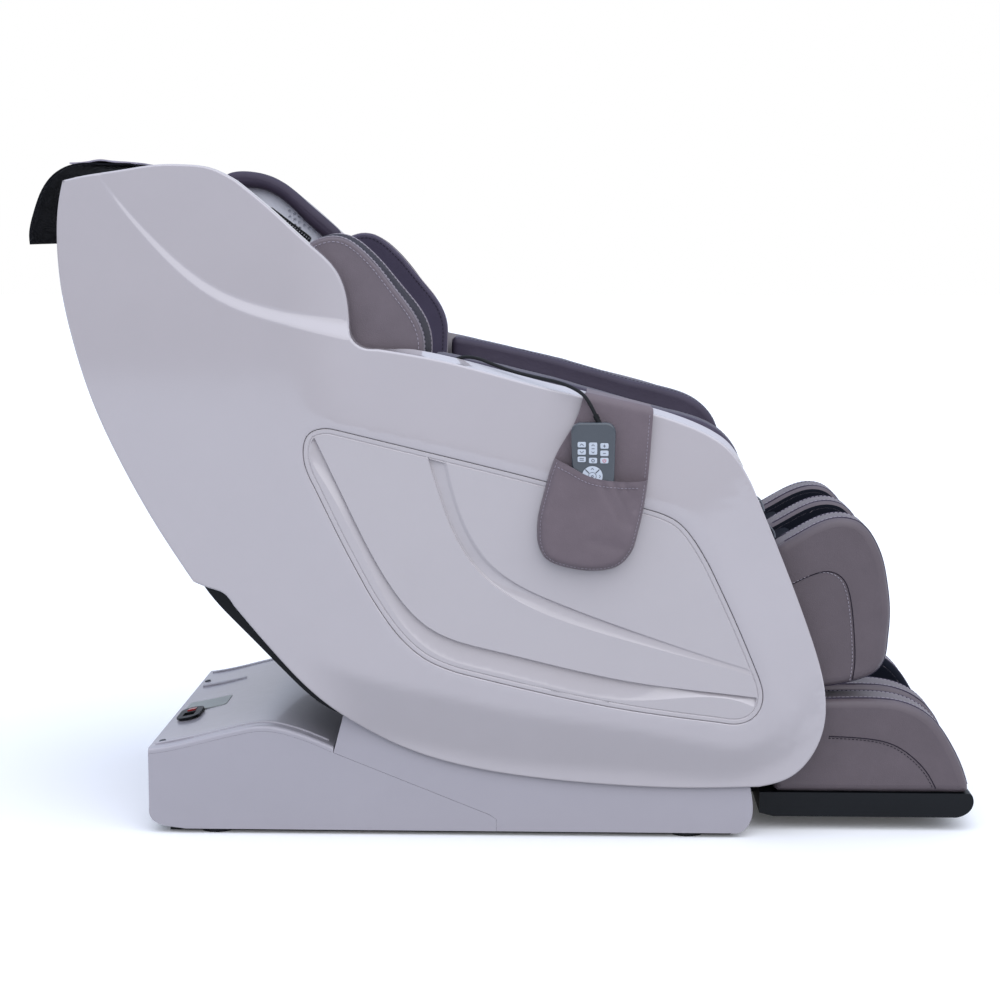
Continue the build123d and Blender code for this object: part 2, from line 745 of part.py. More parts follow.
def tilt_point(along, above=0):
    """Point in the side view, along the recline actuator from its mount."""
    return slope_point(tilt_mount, tilt_rise, along, above)


with BuildPart() as tilt_actuator:
    bar(tilt_point(tilt_body[0]), tilt_point(tilt_body[1]), actuator_radius, 0)
    bar(
        tilt_point(tilt_body[0] + 6), tilt_point(tilt_body[0] + 120), actuator_radius - 2,
        -2 * actuator_radius + 6,
    )
    chamfer(tilt_actuator.faces().sort_by(Axis.X)[-1].edges(), length=3)
    prism(box_of(tilt_point, (0, tilt_body[0] + 4), (-14, 14)), -tilt_eye_half, tilt_eye_half)
    pin(tilt_mount, 14, -tilt_eye_half, tilt_eye_half)
    pin(tilt_mount, leg_pin_radius + pin_clearance, -tilt_eye_half - 1, tilt_eye_half + 1, Mode.SUBTRACT)
    bar(
        tilt_point(tilt_rod_inside - 5), tilt_point(tilt_body[1] + 5), rod_radius + pin_clearance, 0,
        Mode.SUBTRACT,
    )

with BuildPart() as tilt_rod:
    bar(tilt_point(tilt_rod_inside), tilt_point(tilt_run - 26), rod_radius, 0)
    prism(
        box_of(tilt_point, (tilt_run - 28, tilt_run - 19), (-11, 11)), -cheek_inner - cheek_thickness,
        cheek_inner + cheek_thickness,
    )
    for inner in (-cheek_inner - cheek_thickness, cheek_inner):
        prism(box_of(tilt_point, (tilt_run - 20, tilt_run), (-11, 11)), inner, inner + cheek_thickness)
        pin(lever_place, 11, inner, inner + cheek_thickness)
    pin(lever_place, link_pin_radius, -cheek_inner, cheek_inner)

with BuildPart() as leg_actuator:
    bar(rod_point(leg_body[0]), rod_point(leg_body[1]), actuator_radius, leg_actuator_y)
    chamfer(leg_actuator.edges().filter_by(GeomType.CIRCLE), length=3)
    bar(
        rod_point(leg_body[0] + 8), rod_point(leg_body[0] + 110), actuator_radius - 2,
        leg_actuator_y - 2 * actuator_radius + 4,
    )
    prism(
        box_of(rod_point, (leg_body[0] - 16, leg_body[0] + 4), (-12, 12)), leg_actuator_y - eye_half,
        leg_actuator_y + eye_half,
    )
    pin(leg_mount, 12, leg_actuator_y - eye_half, leg_actuator_y + eye_half)
    pin(
        leg_mount, link_pin_radius + pin_clearance, leg_actuator_y - 20, leg_actuator_y + 20,
        Mode.SUBTRACT,
    )
    bar(
        rod_point(rod_tip - 195), rod_point(leg_body[1] + 5), rod_radius + pin_clearance, leg_actuator_y,
        Mode.SUBTRACT,
    )

lever_inner = leg_half_width - 26
lever_outer = lever_inner + ear_thickness

with BuildPart() as leg_rod:
    bar(rod_point(rod_tip - 190), rod_point(rod_tip), rod_radius, leg_actuator_y)
    pin(rod_point(rod_tip), 10, leg_actuator_y - 8, lever_inner - 3)
    pin(rod_point(rod_tip), link_pin_radius, lever_inner - 4, lever_outer + 3)

with BuildPart() as air_pump:
    housing = box_of(seat_point, air_pump_span, (tube_top - air_pump_height, tube_top))
    prism(housing, -190, -40)
    fillet(air_pump.edges().filter_by(Axis.Y).group_by(Axis.Z)[0], radius=12)
    spigot_x, spigot_z = seat_point(air_pump_span[1], tube_top - air_pump_height / 2)
    for distance in (-90, -140):
        bar(
            (spigot_x - 2, spigot_z), seat_point(air_pump_span[1] + 18, tube_top - air_pump_height / 2),
            6, distance,
        )

# ---------------------------------------------------------------- calf unit
slide_rod_x = calf_rear - 12
slide_rod_y = 150
sleeve_half = 12
sleeve_span = (288, 346)
slide_rod_top = 470
calf_floor = 540
calf_low = 248
calf_pad_rear = calf_rear + calf_plate + rest_gap
calf_front = [
    (511, 516), (545, 534), (579, 542), (613, 532), (634, 506), (648, 475), (657, 434), (663, 382),
    (660, 331),
]
calf_under = [(660, 331), (656, 299), (644, 279), (617, 265), (583, 256), (520, 248)]
calf_curves = [
    [(calf_pad_rear, 488), (511, 516)],
    calf_front,
    calf_under,
    [(520, 248), (calf_pad_rear, 245)],
    [(calf_pad_rear, 245), (calf_pad_rear, 488)],
]
hanger_outer = leg_half_width - 4
well_inner = middle_ridge / 2
well_outer = leg_half_width - ridge_width



def lever_point(along, above):
    """Point in the side view, down the legrest's lever from its pivot."""
    return slope_point(leg_pivot, -90 - lever_lean, along, above)


with BuildPart() as calf_frame:
    prism(
        [
            (calf_rear, 262), (calf_rear + calf_plate, 262), (calf_rear + calf_plate, 478),
            (calf_rear, 478),
        ],
        -hanger_outer, hanger_outer,
    )
    # Lightening window between the two slide sleeves.
    prism(
        [(calf_rear - 1, 300), (calf_rear + 9, 300), (calf_rear + 9, 440), (calf_rear - 1, 440)], -110,
        110, Mode.SUBTRACT,
    )
    # Ears and pins that hang the unit on the seat frame.
    for side in (-1, 1):
        ear = [
            (calf_rear + calf_plate, 410), (calf_rear + calf_plate, 478), (leg_x + 12, leg_z + 12),
            (leg_x - 16, leg_z), (calf_rear, 430),
        ]
        prism(ear, side * (hanger_outer - ear_thickness), side * hanger_outer)
        pin(leg_pivot, leg_pin_radius + 9, side * (hanger_outer - ear_thickness), side * hanger_outer)
        pin(leg_pivot, leg_pin_radius, side * hanger_outer, side * leg_ear_outer)
        sleeve = [
            (slide_rod_x - sleeve_half, sleeve_span[0]), (calf_rear + 1, sleeve_span[0]),
            (calf_rear + 1, sleeve_span[1]), (slide_rod_x - sleeve_half, sleeve_span[1]),
        ]
        prism(sleeve, side * (slide_rod_y - sleeve_half), side * (slide_rod_y + sleeve_half))
        bar(
            (slide_rod_x, sleeve_span[0] - 1), (slide_rod_x, sleeve_span[1] + 1),
            slide_rod_radius + pin_clearance, side * slide_rod_y, Mode.SUBTRACT,
        )
    # Slotted lever on the right, pushed by the leg actuator's pin.
    lever_plate = [lever_point(58, -20), lever_point(122, -20), (calf_rear + 2, 372), (calf_rear + 2, 446)]
    prism(lever_plate, lever_inner, lever_outer)
    slot_half = link_pin_radius + slot_play
    slot_ends = (stroke_middle - link_pin_radius - 1, leg_lever + link_pin_radius + 1)
    slot = box_of(lever_point, slot_ends, (-slot_half, slot_half))
    prism(slot, lever_inner - 1, lever_outer + 1, Mode.SUBTRACT)

with BuildPart() as calf_pads:
    curved_prism(calf_curves, well_outer, leg_half_width)
    curved_prism(calf_curves, -leg_half_width, -well_outer)
    curved_prism(calf_curves, -well_inner, well_inner)

calf_bed = [
    (calf_pad_rear, 262), (calf_floor - 24, 262), (calf_floor, 330), (calf_floor - 4, 440),
    (calf_floor - 30, 500), (calf_pad_rear, 478),
]

with BuildPart() as calf_lining:
    for inner in (-well_outer, well_inner):
        prism(calf_bed, inner + rest_gap, inner + well_outer - well_inner - rest_gap)

# ---------------------------------------------------------------- foot unit
foot_low = 24
foot_deck = 66
foot_front = 813
foot_roller_place = (640, 58)
foot_roller_shaft = 6
foot_trough = (
    foot_roller_place[0] - foot_roller_radius - 4, foot_roller_place[0] + foot_roller_radius + 4,
)
lug_half = 10
rib_rooms = 7
rib_wall = 8
rib_pitch = (2 * leg_half_width - rib_wall) / rib_rooms
foot_base_curves = [
    [(446, 30), (470, foot_low)],
    [(470, foot_low), (776, foot_low)],
    [(776, foot_low), (797, 28), (810, 40), (foot_front, 52), (808, foot_deck)],
    [(808, foot_deck), (446, foot_deck)],
    [(446, foot_deck), (446, 30)],
]
foot_top = [
    (470, 223), (560, 223), (635, 222), (692, 212), (730, 184), (765, 140), (790, 96),
    (804, foot_deck + rest_gap),
]
foot_curves = [
    [(470, foot_deck + rest_gap), (470, 223)],
    foot_top,
    [(804, foot_deck + rest_gap), (470, foot_deck + rest_gap)],
]

with BuildPart() as foot_base:
    curved_prism(foot_base_curves, -leg_half_width, leg_half_width)
    for side in (-1, 1):
        # A trough for the foot rollers, and the lug that holds the slide rod.
        trough = [(foot_trough[0], 34), (foot_trough[1], 34), (foot_trough[1], 90), (foot_trough[0], 90)]
        prism(trough, side * (well_inner + 8), side * (well_outer - 8), Mode.SUBTRACT)
        lug = [
            (slide_rod_x - lug_half, 36), (slide_rod_x + lug_half, 36), (slide_rod_x + lug_half, 60),
            (slide_rod_x - lug_half, 60),
        ]
        prism(lug, side * (slide_rod_y - lug_half), side * (slide_rod_y + lug_half))
        bar((slide_rod_x, 50), (slide_rod_x, slide_rod_top), slide_rod_radius, side * slide_rod_y)
    pin(
        foot_roller_place, foot_roller_shaft + pin_clearance, -well_outer - 8, well_outer + 8,
        Mode.SUBTRACT,
    )
    # The underside is ribbed behind and ahead of the troughs.
    for start, end in ((490, foot_trough[0] - 6), (foot_trough[1] + 6, 776)):
        for i in range(rib_rooms):
            inner = -leg_half_width + rib_wall + i * rib_pitch
            room = [
                (start, foot_low - 1), (end, foot_low - 1), (end, foot_deck - 8), (start, foot_deck - 8),
            ]
            prism(room, inner, inner + rib_pitch - rib_wall, Mode.SUBTRACT)

with BuildPart() as foot_pads:
    curved_prism(foot_curves, well_outer, leg_half_width)
    curved_prism(foot_curves, -leg_half_width, -well_outer)
    curved_prism(foot_curves, -well_inner, well_inner)

lining_top = foot_deck + 8
heel_wall = 40

with BuildPart() as foot_lining:
    sole = [
        (470, foot_deck + rest_gap), (790, foot_deck + rest_gap), (784, lining_top),
        (470 + heel_wall, lining_top), (470 + heel_wall, 190), (470, 200),
    ]
    for inner in (-well_outer, well_inner):
        prism(sole, inner + rest_gap, inner + well_outer - well_inner - rest_gap)
        window = [
            (foot_trough[0] - 2, 60), (foot_trough[1] + 2, 60), (foot_trough[1] + 2, 80),
            (foot_trough[0] - 2, 80),
        ]
        prism(window, inner + 6, inner + well_outer - well_inner - 6, Mode.SUBTRACT)

with BuildPart() as foot_rollers:
    pin(foot_roller_place, foot_roller_shaft, -well_outer - 6, well_outer + 6)
    ball_pitch = 30
    for side in (-1, 1):
        for i in range(4):
            middle = side * (well_inner + 27 + i * ball_pitch)
            pin(foot_roller_place, foot_roller_radius - 6 * (i % 2), middle - 11, middle + 11)
    fillet(foot_rollers.edges().filter_by(GeomType.CIRCLE).filter_by(lambda e: e.radius > 10), radius=4)

# ---------------------------------------------------------------- base
frame_low = foot_height
frame_high = frame_low + base_tube
long_outer = upright_inner + upright_thickness
long_inner = long_outer - 28
foot_places = [(x, side * (long_outer - 14)) for x in (-488, 320) for side in (-1, 1)]

with BuildPart() as base_frame:
    prism(
        [(-560, frame_low), (400, frame_low), (400, frame_high), (-560, frame_high)], long_inner,
        long_outer,
    )
    bore = [
        (-561, frame_low + tube_wall), (401, frame_low + tube_wall), (401, frame_high - tube_wall),
        (-561, frame_high - tube_wall),
    ]
    prism(bore, long_inner + tube_wall, long_outer - tube_wall, Mode.SUBTRACT)
    upright = [
        (tilt_x - 60, frame_high - 2), (tilt_x + 60, frame_high - 2), (tilt_x + 22, tilt_z),
        (tilt_x - 22, tilt_z),
    ]
    prism(upright, upright_inner, long_outer)
    pin(axle_place, tilt_pin_radius + 14, upright_inner, long_outer)
    pin(axle_place, tilt_pin_radius + pin_clearance, upright_inner - 1, long_outer + 1, Mode.SUBTRACT)
    for x in (-520, -120, 300):
        # Stubs that carry the covers.
        prism(
            [
                (x - 15, frame_low + 4), (x + 15, frame_low + 4), (x + 15, frame_high - 4),
                (x - 15, frame_high - 4),
            ],
            long_outer, base_half_width - base_wall - rest_gap,
        )
    mirror(about=Plane.XZ)
    for x in (-545, tilt_mount[0], 80, 385):
        prism(
            [(x - 15, frame_low), (x + 15, frame_low), (x + 15, frame_high), (x - 15, frame_high)],
            -long_inner - 1, long_inner + 1,
        )
        bore = [(x - 15 + tube_wall, frame_low + tube_wall), (x + 15 - tube_wall, frame_low + tube_wall)]
        bore += [
            (x + 15 - tube_wall, frame_high - tube_wall), (x - 15 + tube_wall, frame_high - tube_wall),
        ]
        prism(bore, -long_inner + 1, long_inner - 1, Mode.SUBTRACT)
    # Clevis of the recline actuator.
    cheek = [
        (tilt_mount[0] - 15, frame_high - 2), (tilt_mount[0] + 15, frame_high - 2),
        (tilt_mount[0] + 12, tilt_mount[1]), (tilt_mount[0] - 12, tilt_mount[1]),
    ]
    for inner in (-tilt_eye_half - 9, tilt_eye_half + 1):
        prism(cheek, inner, inner + 8)
        pin(tilt_mount, 14, inner, inner + 8)
    pin(tilt_mount, leg_pin_radius, -tilt_eye_half - 9, tilt_eye_half + 9)

with BuildPart() as floor_feet:
    with BuildSketch(Plane.XY) as soles:
        with Locations(*foot_places):
            Circle(foot_radius - 3)
    with BuildSketch(Plane.XY.offset(foot_height)) as tops:
        with Locations(*foot_places):
            Circle(foot_radius)
    for sole, top in zip(soles.sketch.faces(), tops.sketch.faces()):
        loft([sole, top])

tray_middle = -94
tray_length = 970

with BuildPart() as bottom_tray:
    with BuildSketch(Plane.XY.offset(frame_low - 2)):
        with Locations((tray_middle, 0)):
            RectangleRounded(tray_length, 2 * (long_inner - 23), radius=20)
    extrude(amount=2)
    with BuildSketch(Plane.XY.offset(frame_low - 3)):
        with Locations((tray_middle, 0)):
            with GridLocations(60, 0, 9, 1):
                SlotOverall(120, 8, rotation=90)
    extrude(amount=4, mode=Mode.SUBTRACT)

seam = [(-283, 143), (-17, 37), (-5, 29), (-5, base_lift)]
cover_curves = [
    [(-283, 143), (-266, 207)],
    [(-266, 207), (base_front - 9, 100)],
    [
        (base_front - 9, 100), (base_front - 3, 60), (base_front - 6, 30), (base_front - 18, 13),
        (base_front - 37, base_lift),
    ],
    [(base_front - 37, base_lift), (-5, base_lift)],
    [seam[3], seam[2]],
    [seam[2], seam[1]],
    [seam[1], seam[0]],
]

with BuildPart() as base_cover_right:
    curved_prism(cover_curves, rest_gap / 2, base_half_width)
    curved_prism(cover_curves, -5, base_half_width - base_wall, mode=Mode.SUBTRACT, grow=-base_wall)
    # Open below, and open above the recline axle.
    prism([(-300, -5), (394, -5), (394, 16), (-300, 16)], -5, base_half_width - base_wall, Mode.SUBTRACT)
    over_axle = [(-300, 0), (20, 0), (20, 140), (-40, 140), (-40, 260), (-300, 260)]
    prism(over_axle, -5, base_half_width - base_wall, Mode.SUBTRACT)

with BuildPart() as base_cover_left:
    mirror(base_cover_right.part, about=Plane.XZ)

wedge_top = [
    (-601, 138), (-509, 157), (-449, 172), (-404, 179), (-356, 171), (-307, 153), (-283.3, 142.6),
]
housing_curves = [
    wedge_top,
    [(-283.3, 142.6), (-17.4, 36.6)],
    [(-17.4, 36.6), (-5.3, 29)],
    [(-5.3, 29), (-5.3, base_lift)],
    [(-5.3, base_lift), (-540, base_lift)],
    [(-540, base_lift), (-574, 13), (-594, 22), (-601, 44)],
    [(-601, 44), (-601, 138)],
]

with BuildPart() as rear_housing:
    curved_prism(housing_curves, -base_half_width, base_half_width)
    room = [
        (base_rear + base_wall - 1, base_lift - 5), (50, base_lift - 5), (50, 260),
        (base_rear + base_wall - 1, 260),
    ]
    prism(room, -base_half_width + base_wall, base_half_width - base_wall, Mode.SUBTRACT)

panel_rise = 10
panel_low = [(x, z + rest_gap) for x, z in wedge_top]
panel_high = [(x, z + panel_rise) for x, z in wedge_top]
panel_side = [panel_low, [panel_low[-1], panel_high[-1]], panel_high[::-1], [panel_high[0], panel_low[0]]]
socket_x = -568
socket_distance = 100
socket_length = 92
socket_width = 42
socket_body = (34, 60)

inside = [(x, z - base_wall) for x, z in panel_high]
hollow_side = [
    inside, [inside[-1], (-263, 100)], [(-263, 100), (base_rear - 20, 100)],
    [(base_rear - 20, 100), inside[0]],
]
inside_ends = (base_rear + base_wall, -283 - base_wall)

with BuildPart() as panel_room:
    curved_prism(hollow_side, -base_half_width + base_wall, base_half_width - base_wall)
    between = [(inside_ends[0], 90), (inside_ends[1], 90), (inside_ends[1], 230), (inside_ends[0], 230)]
    prism(between, -far_out, far_out, Mode.INTERSECT)

with BuildPart() as rear_top_panel:
    curved_prism(panel_side, -base_half_width, base_half_width)
    edge_line = rear_top_panel.edges().filter_by(GeomType.BSPLINE).group_by(Axis.Z)[-1]
    fillet(edge_line, radius=panel_rise * 0.6)
    add(panel_room.part, mode=Mode.SUBTRACT)
    with BuildSketch(Plane.XY.offset(120)) as opening:
        with Locations((socket_x, -socket_distance)):
            Rectangle(socket_body[0] + 2 * rest_gap, socket_body[1] + 2 * rest_gap)
    extrude(opening.sketch, amount=80, mode=Mode.SUBTRACT)

lip_points = (panel_high[0], panel_high[1])
lip_rise = degrees(atan2(lip_points[1][1] - lip_points[0][1], lip_points[1][0] - lip_points[0][0]))
lip_share = (socket_x - lip_points[0][0]) / (lip_points[1][0] - lip_points[0][0])
lip_z = lip_points[0][1] + lip_share * (lip_points[1][1] - lip_points[0][1]) + 1.4
lip_plane = Plane(
    origin=(socket_x, -socket_distance, lip_z), x_dir=(cos(radians(lip_rise)), 0, sin(radians(lip_rise))),
    z_dir=(-sin(radians(lip_rise)), 0, cos(radians(lip_rise))),
)
flange_thickness = 3
inlet_size = (21, 28)
inlet_y = -12
rocker_y = 22
rocker_size = (15, 20)

with BuildPart() as power_inlet:
    with BuildSketch(lip_plane) as flange:
        SlotOverall(socket_length, socket_width, rotation=90)
    extrude(flange.sketch, amount=flange_thickness)
    with BuildSketch(lip_plane) as body:
        Rectangle(*(side - 6 for side in socket_body))
    extrude(body.sketch, amount=-24)
    with BuildSketch(lip_plane.offset(flange_thickness)) as mouths:
        with Locations((0, inlet_y)):
            Rectangle(*inlet_size)
        with Locations((0, rocker_y)):
            Rectangle(rocker_size[0] + 0.6, rocker_size[1] + 0.6)
    extrude(mouths.sketch, amount=-22, mode=Mode.SUBTRACT)
    with BuildSketch(lip_plane.offset(flange_thickness - 24)) as blades:
        with Locations((-4, inlet_y - 7), (4, inlet_y), (-4, inlet_y + 7)):
            Rectangle(4, 2)
    extrude(blades.sketch, amount=14)
    # Trunnions that the rocker turns on.
    rocker_axis = Plane(
        origin=lip_plane.from_local_coords(
            Vector(-rocker_size[0] / 2 - 0.3, rocker_y, flange_thickness - 3)
        ),
        x_dir=(0, 1, 0), z_dir=lip_plane.x_dir,
    )
    with BuildSketch(rocker_axis) as trunnion:
        Circle(1.5)
    extrude(trunnion.sketch, amount=rocker_size[0] + 0.6)

with BuildPart() as power_switch:
    rocker_plane = Plane(
        origin=lip_plane.from_local_coords(Vector(-rocker_size[0] / 2, rocker_y, flange_thickness - 3)),
        x_dir=(0, 1, 0), z_dir=lip_plane.x_dir,
    )
    with BuildSketch(rocker_plane) as rocker:
        half = rocker_size[1] / 2 - 0.4
        Polygon((-half, -1), (-half, 5.4), (0, 4), (half, 4), (half, -2), (0, -5), align=None)
        Circle(1.5 + pin_clearance, mode=Mode.SUBTRACT)
    extrude(rocker.sketch, amount=rocker_size[0])

with BuildPart() as power_supply:
    with BuildSketch(Plane.XY.offset(frame_low)):
        with Locations((-400, 170)):
            Rectangle(90, 150)
    extrude(amount=72)
    fillet(power_supply.edges().filter_by(Axis.Z), radius=5)
    with BuildSketch(Plane.XY.offset(frame_low + 72)):
        with Locations((-400, 170)):
            with GridLocations(0, 12, 1, 9):
                Rectangle(60, 4)
    extrude(amount=-3, mode=Mode.SUBTRACT)

# ---------------------------------------------------------------- pouch, handset and its cord
pouch_front = handset_front + key_proud + 1
pouch_curves = [
    [(141, 764), (118, 730), (92, 690), (76, 622), (65, 560), (64, 518)],
    [(64, 518), (76, 490), (110, 474), (165, 468), (204, 480), (224, 506)],
    [(224, 506), (240, 575), (250, 670), (255, 739)],
    [(255, 739), (141, 764)],
]
mouth = [(60, 668), (92, 656), (123, 641), (147, 628), (180, 620), (213, 618), (262, 622)]
strap_gap = 1.5
strap_rear = 756          # height of the armrest's edge under the strap
strap_front = 728

with BuildPart() as remote_pouch:
    curved_prism(pouch_curves, shell_edge + 5, pouch_front + pouch_layer)
    # Above the mouth only the back layer stays, and below it the pocket is hollow.
    above_mouth = [mouth, [mouth[-1], (262, 800)], [(262, 800), (60, 800)], [(60, 800), mouth[0]]]
    curved_prism(above_mouth, pouch_back, far_out * 2, mode=Mode.SUBTRACT)
    curved_prism(pouch_curves, pouch_back, pouch_front, mode=Mode.SUBTRACT, grow=-pouch_layer - 2)
    crown(-rest_gap, Mode.SUBTRACT)
    # The strap lies over the armrest's edge and is tucked down inside it.
    strap_line = [(144, strap_rear + strap_gap), (253, strap_front + strap_gap)]
    strap_over = [(x, z + pouch_layer) for x, z in strap_line[::-1]]
    prism([*strap_line, *strap_over], shell_edge - 4.5, pouch_back)
    prism([(144, 690), (253, 690), *strap_over], shell_edge - 4.5, shell_edge - 1.5)

key_places = {
    "key_left_1": (137, 679, 14, 9.5),
    "key_left_2": (137, 667, 14, 9.5),
    "key_left_3": (137, 655, 14, 9.5),
    "key_middle_tall": (155.5, 672.5, 14, 20.5),
    "key_middle_low": (155.5, 653, 14, 9.5),
    "key_right_1": (174, 677, 14, 9.5),
    "key_right_2": (174, 665, 14, 9.5),
    "key_right_3": (174, 653, 14, 9.5),
}
direction_place = (154.5, 627)
direction_radius = 17
centre_radius = 6
centre_gap = 0.7
key_floor = handset_front - key_depth


def key_outline(x, z, width, height, grow=0):
    """Rounded key outline on the handset's face."""
    with BuildSketch(side_plane(key_floor)) as outline:
        with Locations((x, z)):
            RectangleRounded(width + 2 * grow, height + 2 * grow, radius=2.5 + grow)
    return outline.sketch


relief_top = Vector(cord_points[-1][0], cord_points[-1][2])
relief_run = (relief_top - Vector(cord_points[-2][0], cord_points[-2][2])).normalized()
relief_length = 20


def relief_point(along):
    """Point in the side view on the relief's axis, down from where the cord enters it."""
    place = relief_top + relief_run * along
    return (place.X, place.Y)


with BuildPart() as handset_case:
    half_top = handset_width / 2
    half_low = half_top - 4
    low = handset_top - handset_length
    with BuildSketch(side_plane(handset_back)) as face:
        Polygon(
            (handset_x - half_top, handset_top), (handset_x + half_top, handset_top),
            (handset_x + half_low, low), (handset_x - half_low, low), align=None,
        )
        fillet(face.vertices(), radius=16)
    extrude(face.sketch, amount=handset_thickness)
    fillet(handset_case.faces().sort_by(Axis.Y)[0].edges(), radius=4)
    for x, z, width, height in key_places.values():
        extrude(key_outline(x, z, width, height), amount=key_depth + 1, mode=Mode.SUBTRACT)
    pin(direction_place, direction_radius, key_floor, handset_front + 1, Mode.SUBTRACT)
    # The cord's plug seats in the top edge.
    bar(relief_point(-20), relief_point(relief_length + 0.5), 4.5, relief_distance, Mode.SUBTRACT)

keys = {}
for name, (x, z, width, height) in key_places.items():
    with BuildPart() as key:
        extrude(key_outline(x, z, width, height, -key_gap), amount=key_depth + key_proud)
        prism(
            [(x - 20, z - 20), (x + 20, z - 20), (x + 20, z + 20), (x - 20, z + 20)], key_floor - 1,
            key_floor + key_room, Mode.SUBTRACT,
        )
        fillet(key.faces().sort_by(Axis.Y)[0].edges(), radius=0.6)
    keys[name] = key

with BuildPart() as direction_key:
    pin(direction_place, direction_radius - key_gap, key_floor + key_room, handset_front + key_proud)
    pin(direction_place, centre_radius + centre_gap, key_floor - 1, handset_front + 5, Mode.SUBTRACT)
    fillet(direction_key.faces().sort_by(Axis.Y)[0].edges(), radius=0.6)

with BuildPart() as centre_key:
    pin(direction_place, centre_radius, key_floor + key_room, handset_front + key_proud)
    fillet(centre_key.faces().sort_by(Axis.Y)[0].edges(), radius=0.6)

with BuildPart() as cord_relief:
    bar(relief_point(0), relief_point(relief_length), 4.2, relief_distance)
    for start in (1, 5):
        bar(relief_point(start), relief_point(start + 2), 5, relief_distance)


def corner_radii(points):
    """Largest tangent arcs that each corner's two runs allow."""
    radii = []
    for before, corner, after in zip(points, points[1:], points[2:]):
        first = Vector(*corner) - Vector(*before)
        second = Vector(*after) - Vector(*corner)
        turn = radians(first.get_angle(second))
        radii.append(0.45 * min(first.length, second.length) / tan(turn / 2))
    return radii


radii = corner_radii(cord_points)
print("cord radii", [round(radius, 1) for radius in radii])

with BuildPart() as handset_cord:
    with BuildLine() as route:
        FilletPolyline(*cord_points, radius=radii)
    first_run = Vector(*cord_points[1]) - Vector(*cord_points[0])
    with BuildSketch(Plane(origin=cord_points[0], z_dir=first_run)) as section:
        Circle(cord_radius)
    sweep(section.sketch, path=route.wire())
print("cord length", round(route.wire().length, 1))
print(
    "cord volume over section times length",
    round(handset_cord.part.volume / (pi * cord_radius**2 * route.wire().length), 4),
)

# ---------------------------------------------------------------- left-hand copies
left_hand = {
    "side_shell_left": side_shell_right,
    "side_panel_left": side_panel_right,
    "armrest_pad_left": armrest_pad_right,
    "wing_liner_left": wing_liner_right,
    "wing_trim_left": wing_trim_right,
    "shoulder_pad_left": shoulder_pad_right,
}
copies = {}
for name, original in left_hand.items():
    with BuildPart() as copy_part:
        mirror(original.part, about=Plane.XZ)
    copies[name] = copy_part

# ---------------------------------------------------------------- export
pieces = {
    "side_shell_right": side_shell_right,
    "side_panel_right": side_panel_right,
    "armrest_pad_right": armrest_pad_right,
    "wing_liner_right": wing_liner_right,
    "wing_trim_right": wing_trim_right,
    "shoulder_pad_right": shoulder_pad_right,
    **copies,
    "seat_pad": seat_pad,
    "back_pad": back_pad,
    "head_pillow": head_pillow,
    "seat_frame": seat_frame,
    "guide_rails": guide_rails,
    "massage_carriage": massage_carriage,
    "roller_upper_right": roller_upper_right,
    "roller_lower_right": roller_lower_right,
    "roller_upper_left": roller_upper_left,
    "roller_lower_left": roller_lower_left,
    "back_cover": back_cover,
    "lower_back_cover": lower_back_cover,
    "tilt_actuator": tilt_actuator,
    "tilt_rod": tilt_rod,
    "leg_actuator": leg_actuator,
    "leg_rod": leg_rod,
    "air_pump": air_pump,
    "calf_frame": calf_frame,
    "calf_pads": calf_pads,
    "calf_lining": calf_lining,
    "foot_base": foot_base,
    "foot_pads": foot_pads,
    "foot_lining": foot_lining,
    "foot_rollers": foot_rollers,
    "base_frame": base_frame,
    "floor_feet": floor_feet,
    "bottom_tray": bottom_tray,
    "base_cover_right": base_cover_right,
    "base_cover_left": base_cover_left,
    "rear_housing": rear_housing,
    "rear_top_panel": rear_top_panel,
    "power_inlet": power_inlet,
    "power_switch": power_switch,
    "power_supply": power_supply,
    "remote_pouch": remote_pouch,
    "handset_case": handset_case,
    **keys,
    "direction_key": direction_key,
    "centre_key": centre_key,
    "cord_relief": cord_relief,
    "handset_cord": handset_cord,
}

os.makedirs("parts", exist_ok=True)
for name, piece in pieces.items():
    piece.part.label = name
    export_step(piece.part, f"parts/{name}.step")
print(len(pieces), "pieces")
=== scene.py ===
"""Looks of a capsule massage chair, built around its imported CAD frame.

Outlines are in millimetres in the side view (forward, up) unless a name says otherwise.
The sitter's right is at -Y; pieces on the right are made first and mirrored to the left.
"""

import json
import math

import bpy
import numpy as np
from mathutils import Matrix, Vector, geometry, noise


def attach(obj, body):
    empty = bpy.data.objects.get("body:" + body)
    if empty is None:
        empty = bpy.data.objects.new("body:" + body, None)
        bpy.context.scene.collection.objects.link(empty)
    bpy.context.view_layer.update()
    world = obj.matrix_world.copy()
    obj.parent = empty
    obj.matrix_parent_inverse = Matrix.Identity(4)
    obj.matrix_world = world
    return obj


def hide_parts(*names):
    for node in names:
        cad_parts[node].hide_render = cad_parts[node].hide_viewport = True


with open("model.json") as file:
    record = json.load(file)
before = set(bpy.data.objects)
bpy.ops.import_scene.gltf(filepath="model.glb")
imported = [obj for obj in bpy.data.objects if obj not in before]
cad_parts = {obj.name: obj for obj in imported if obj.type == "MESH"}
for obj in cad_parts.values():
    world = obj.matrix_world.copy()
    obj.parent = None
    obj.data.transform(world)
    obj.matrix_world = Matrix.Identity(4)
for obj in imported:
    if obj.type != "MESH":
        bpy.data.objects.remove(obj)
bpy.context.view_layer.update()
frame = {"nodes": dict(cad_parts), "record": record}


# ---------------------------------------------------------------- lines and distances
def travelled(line):
    """Length of the line up to each of its points."""
    return np.concatenate([[0], np.cumsum(np.linalg.norm(np.diff(line, axis=0), axis=1))])


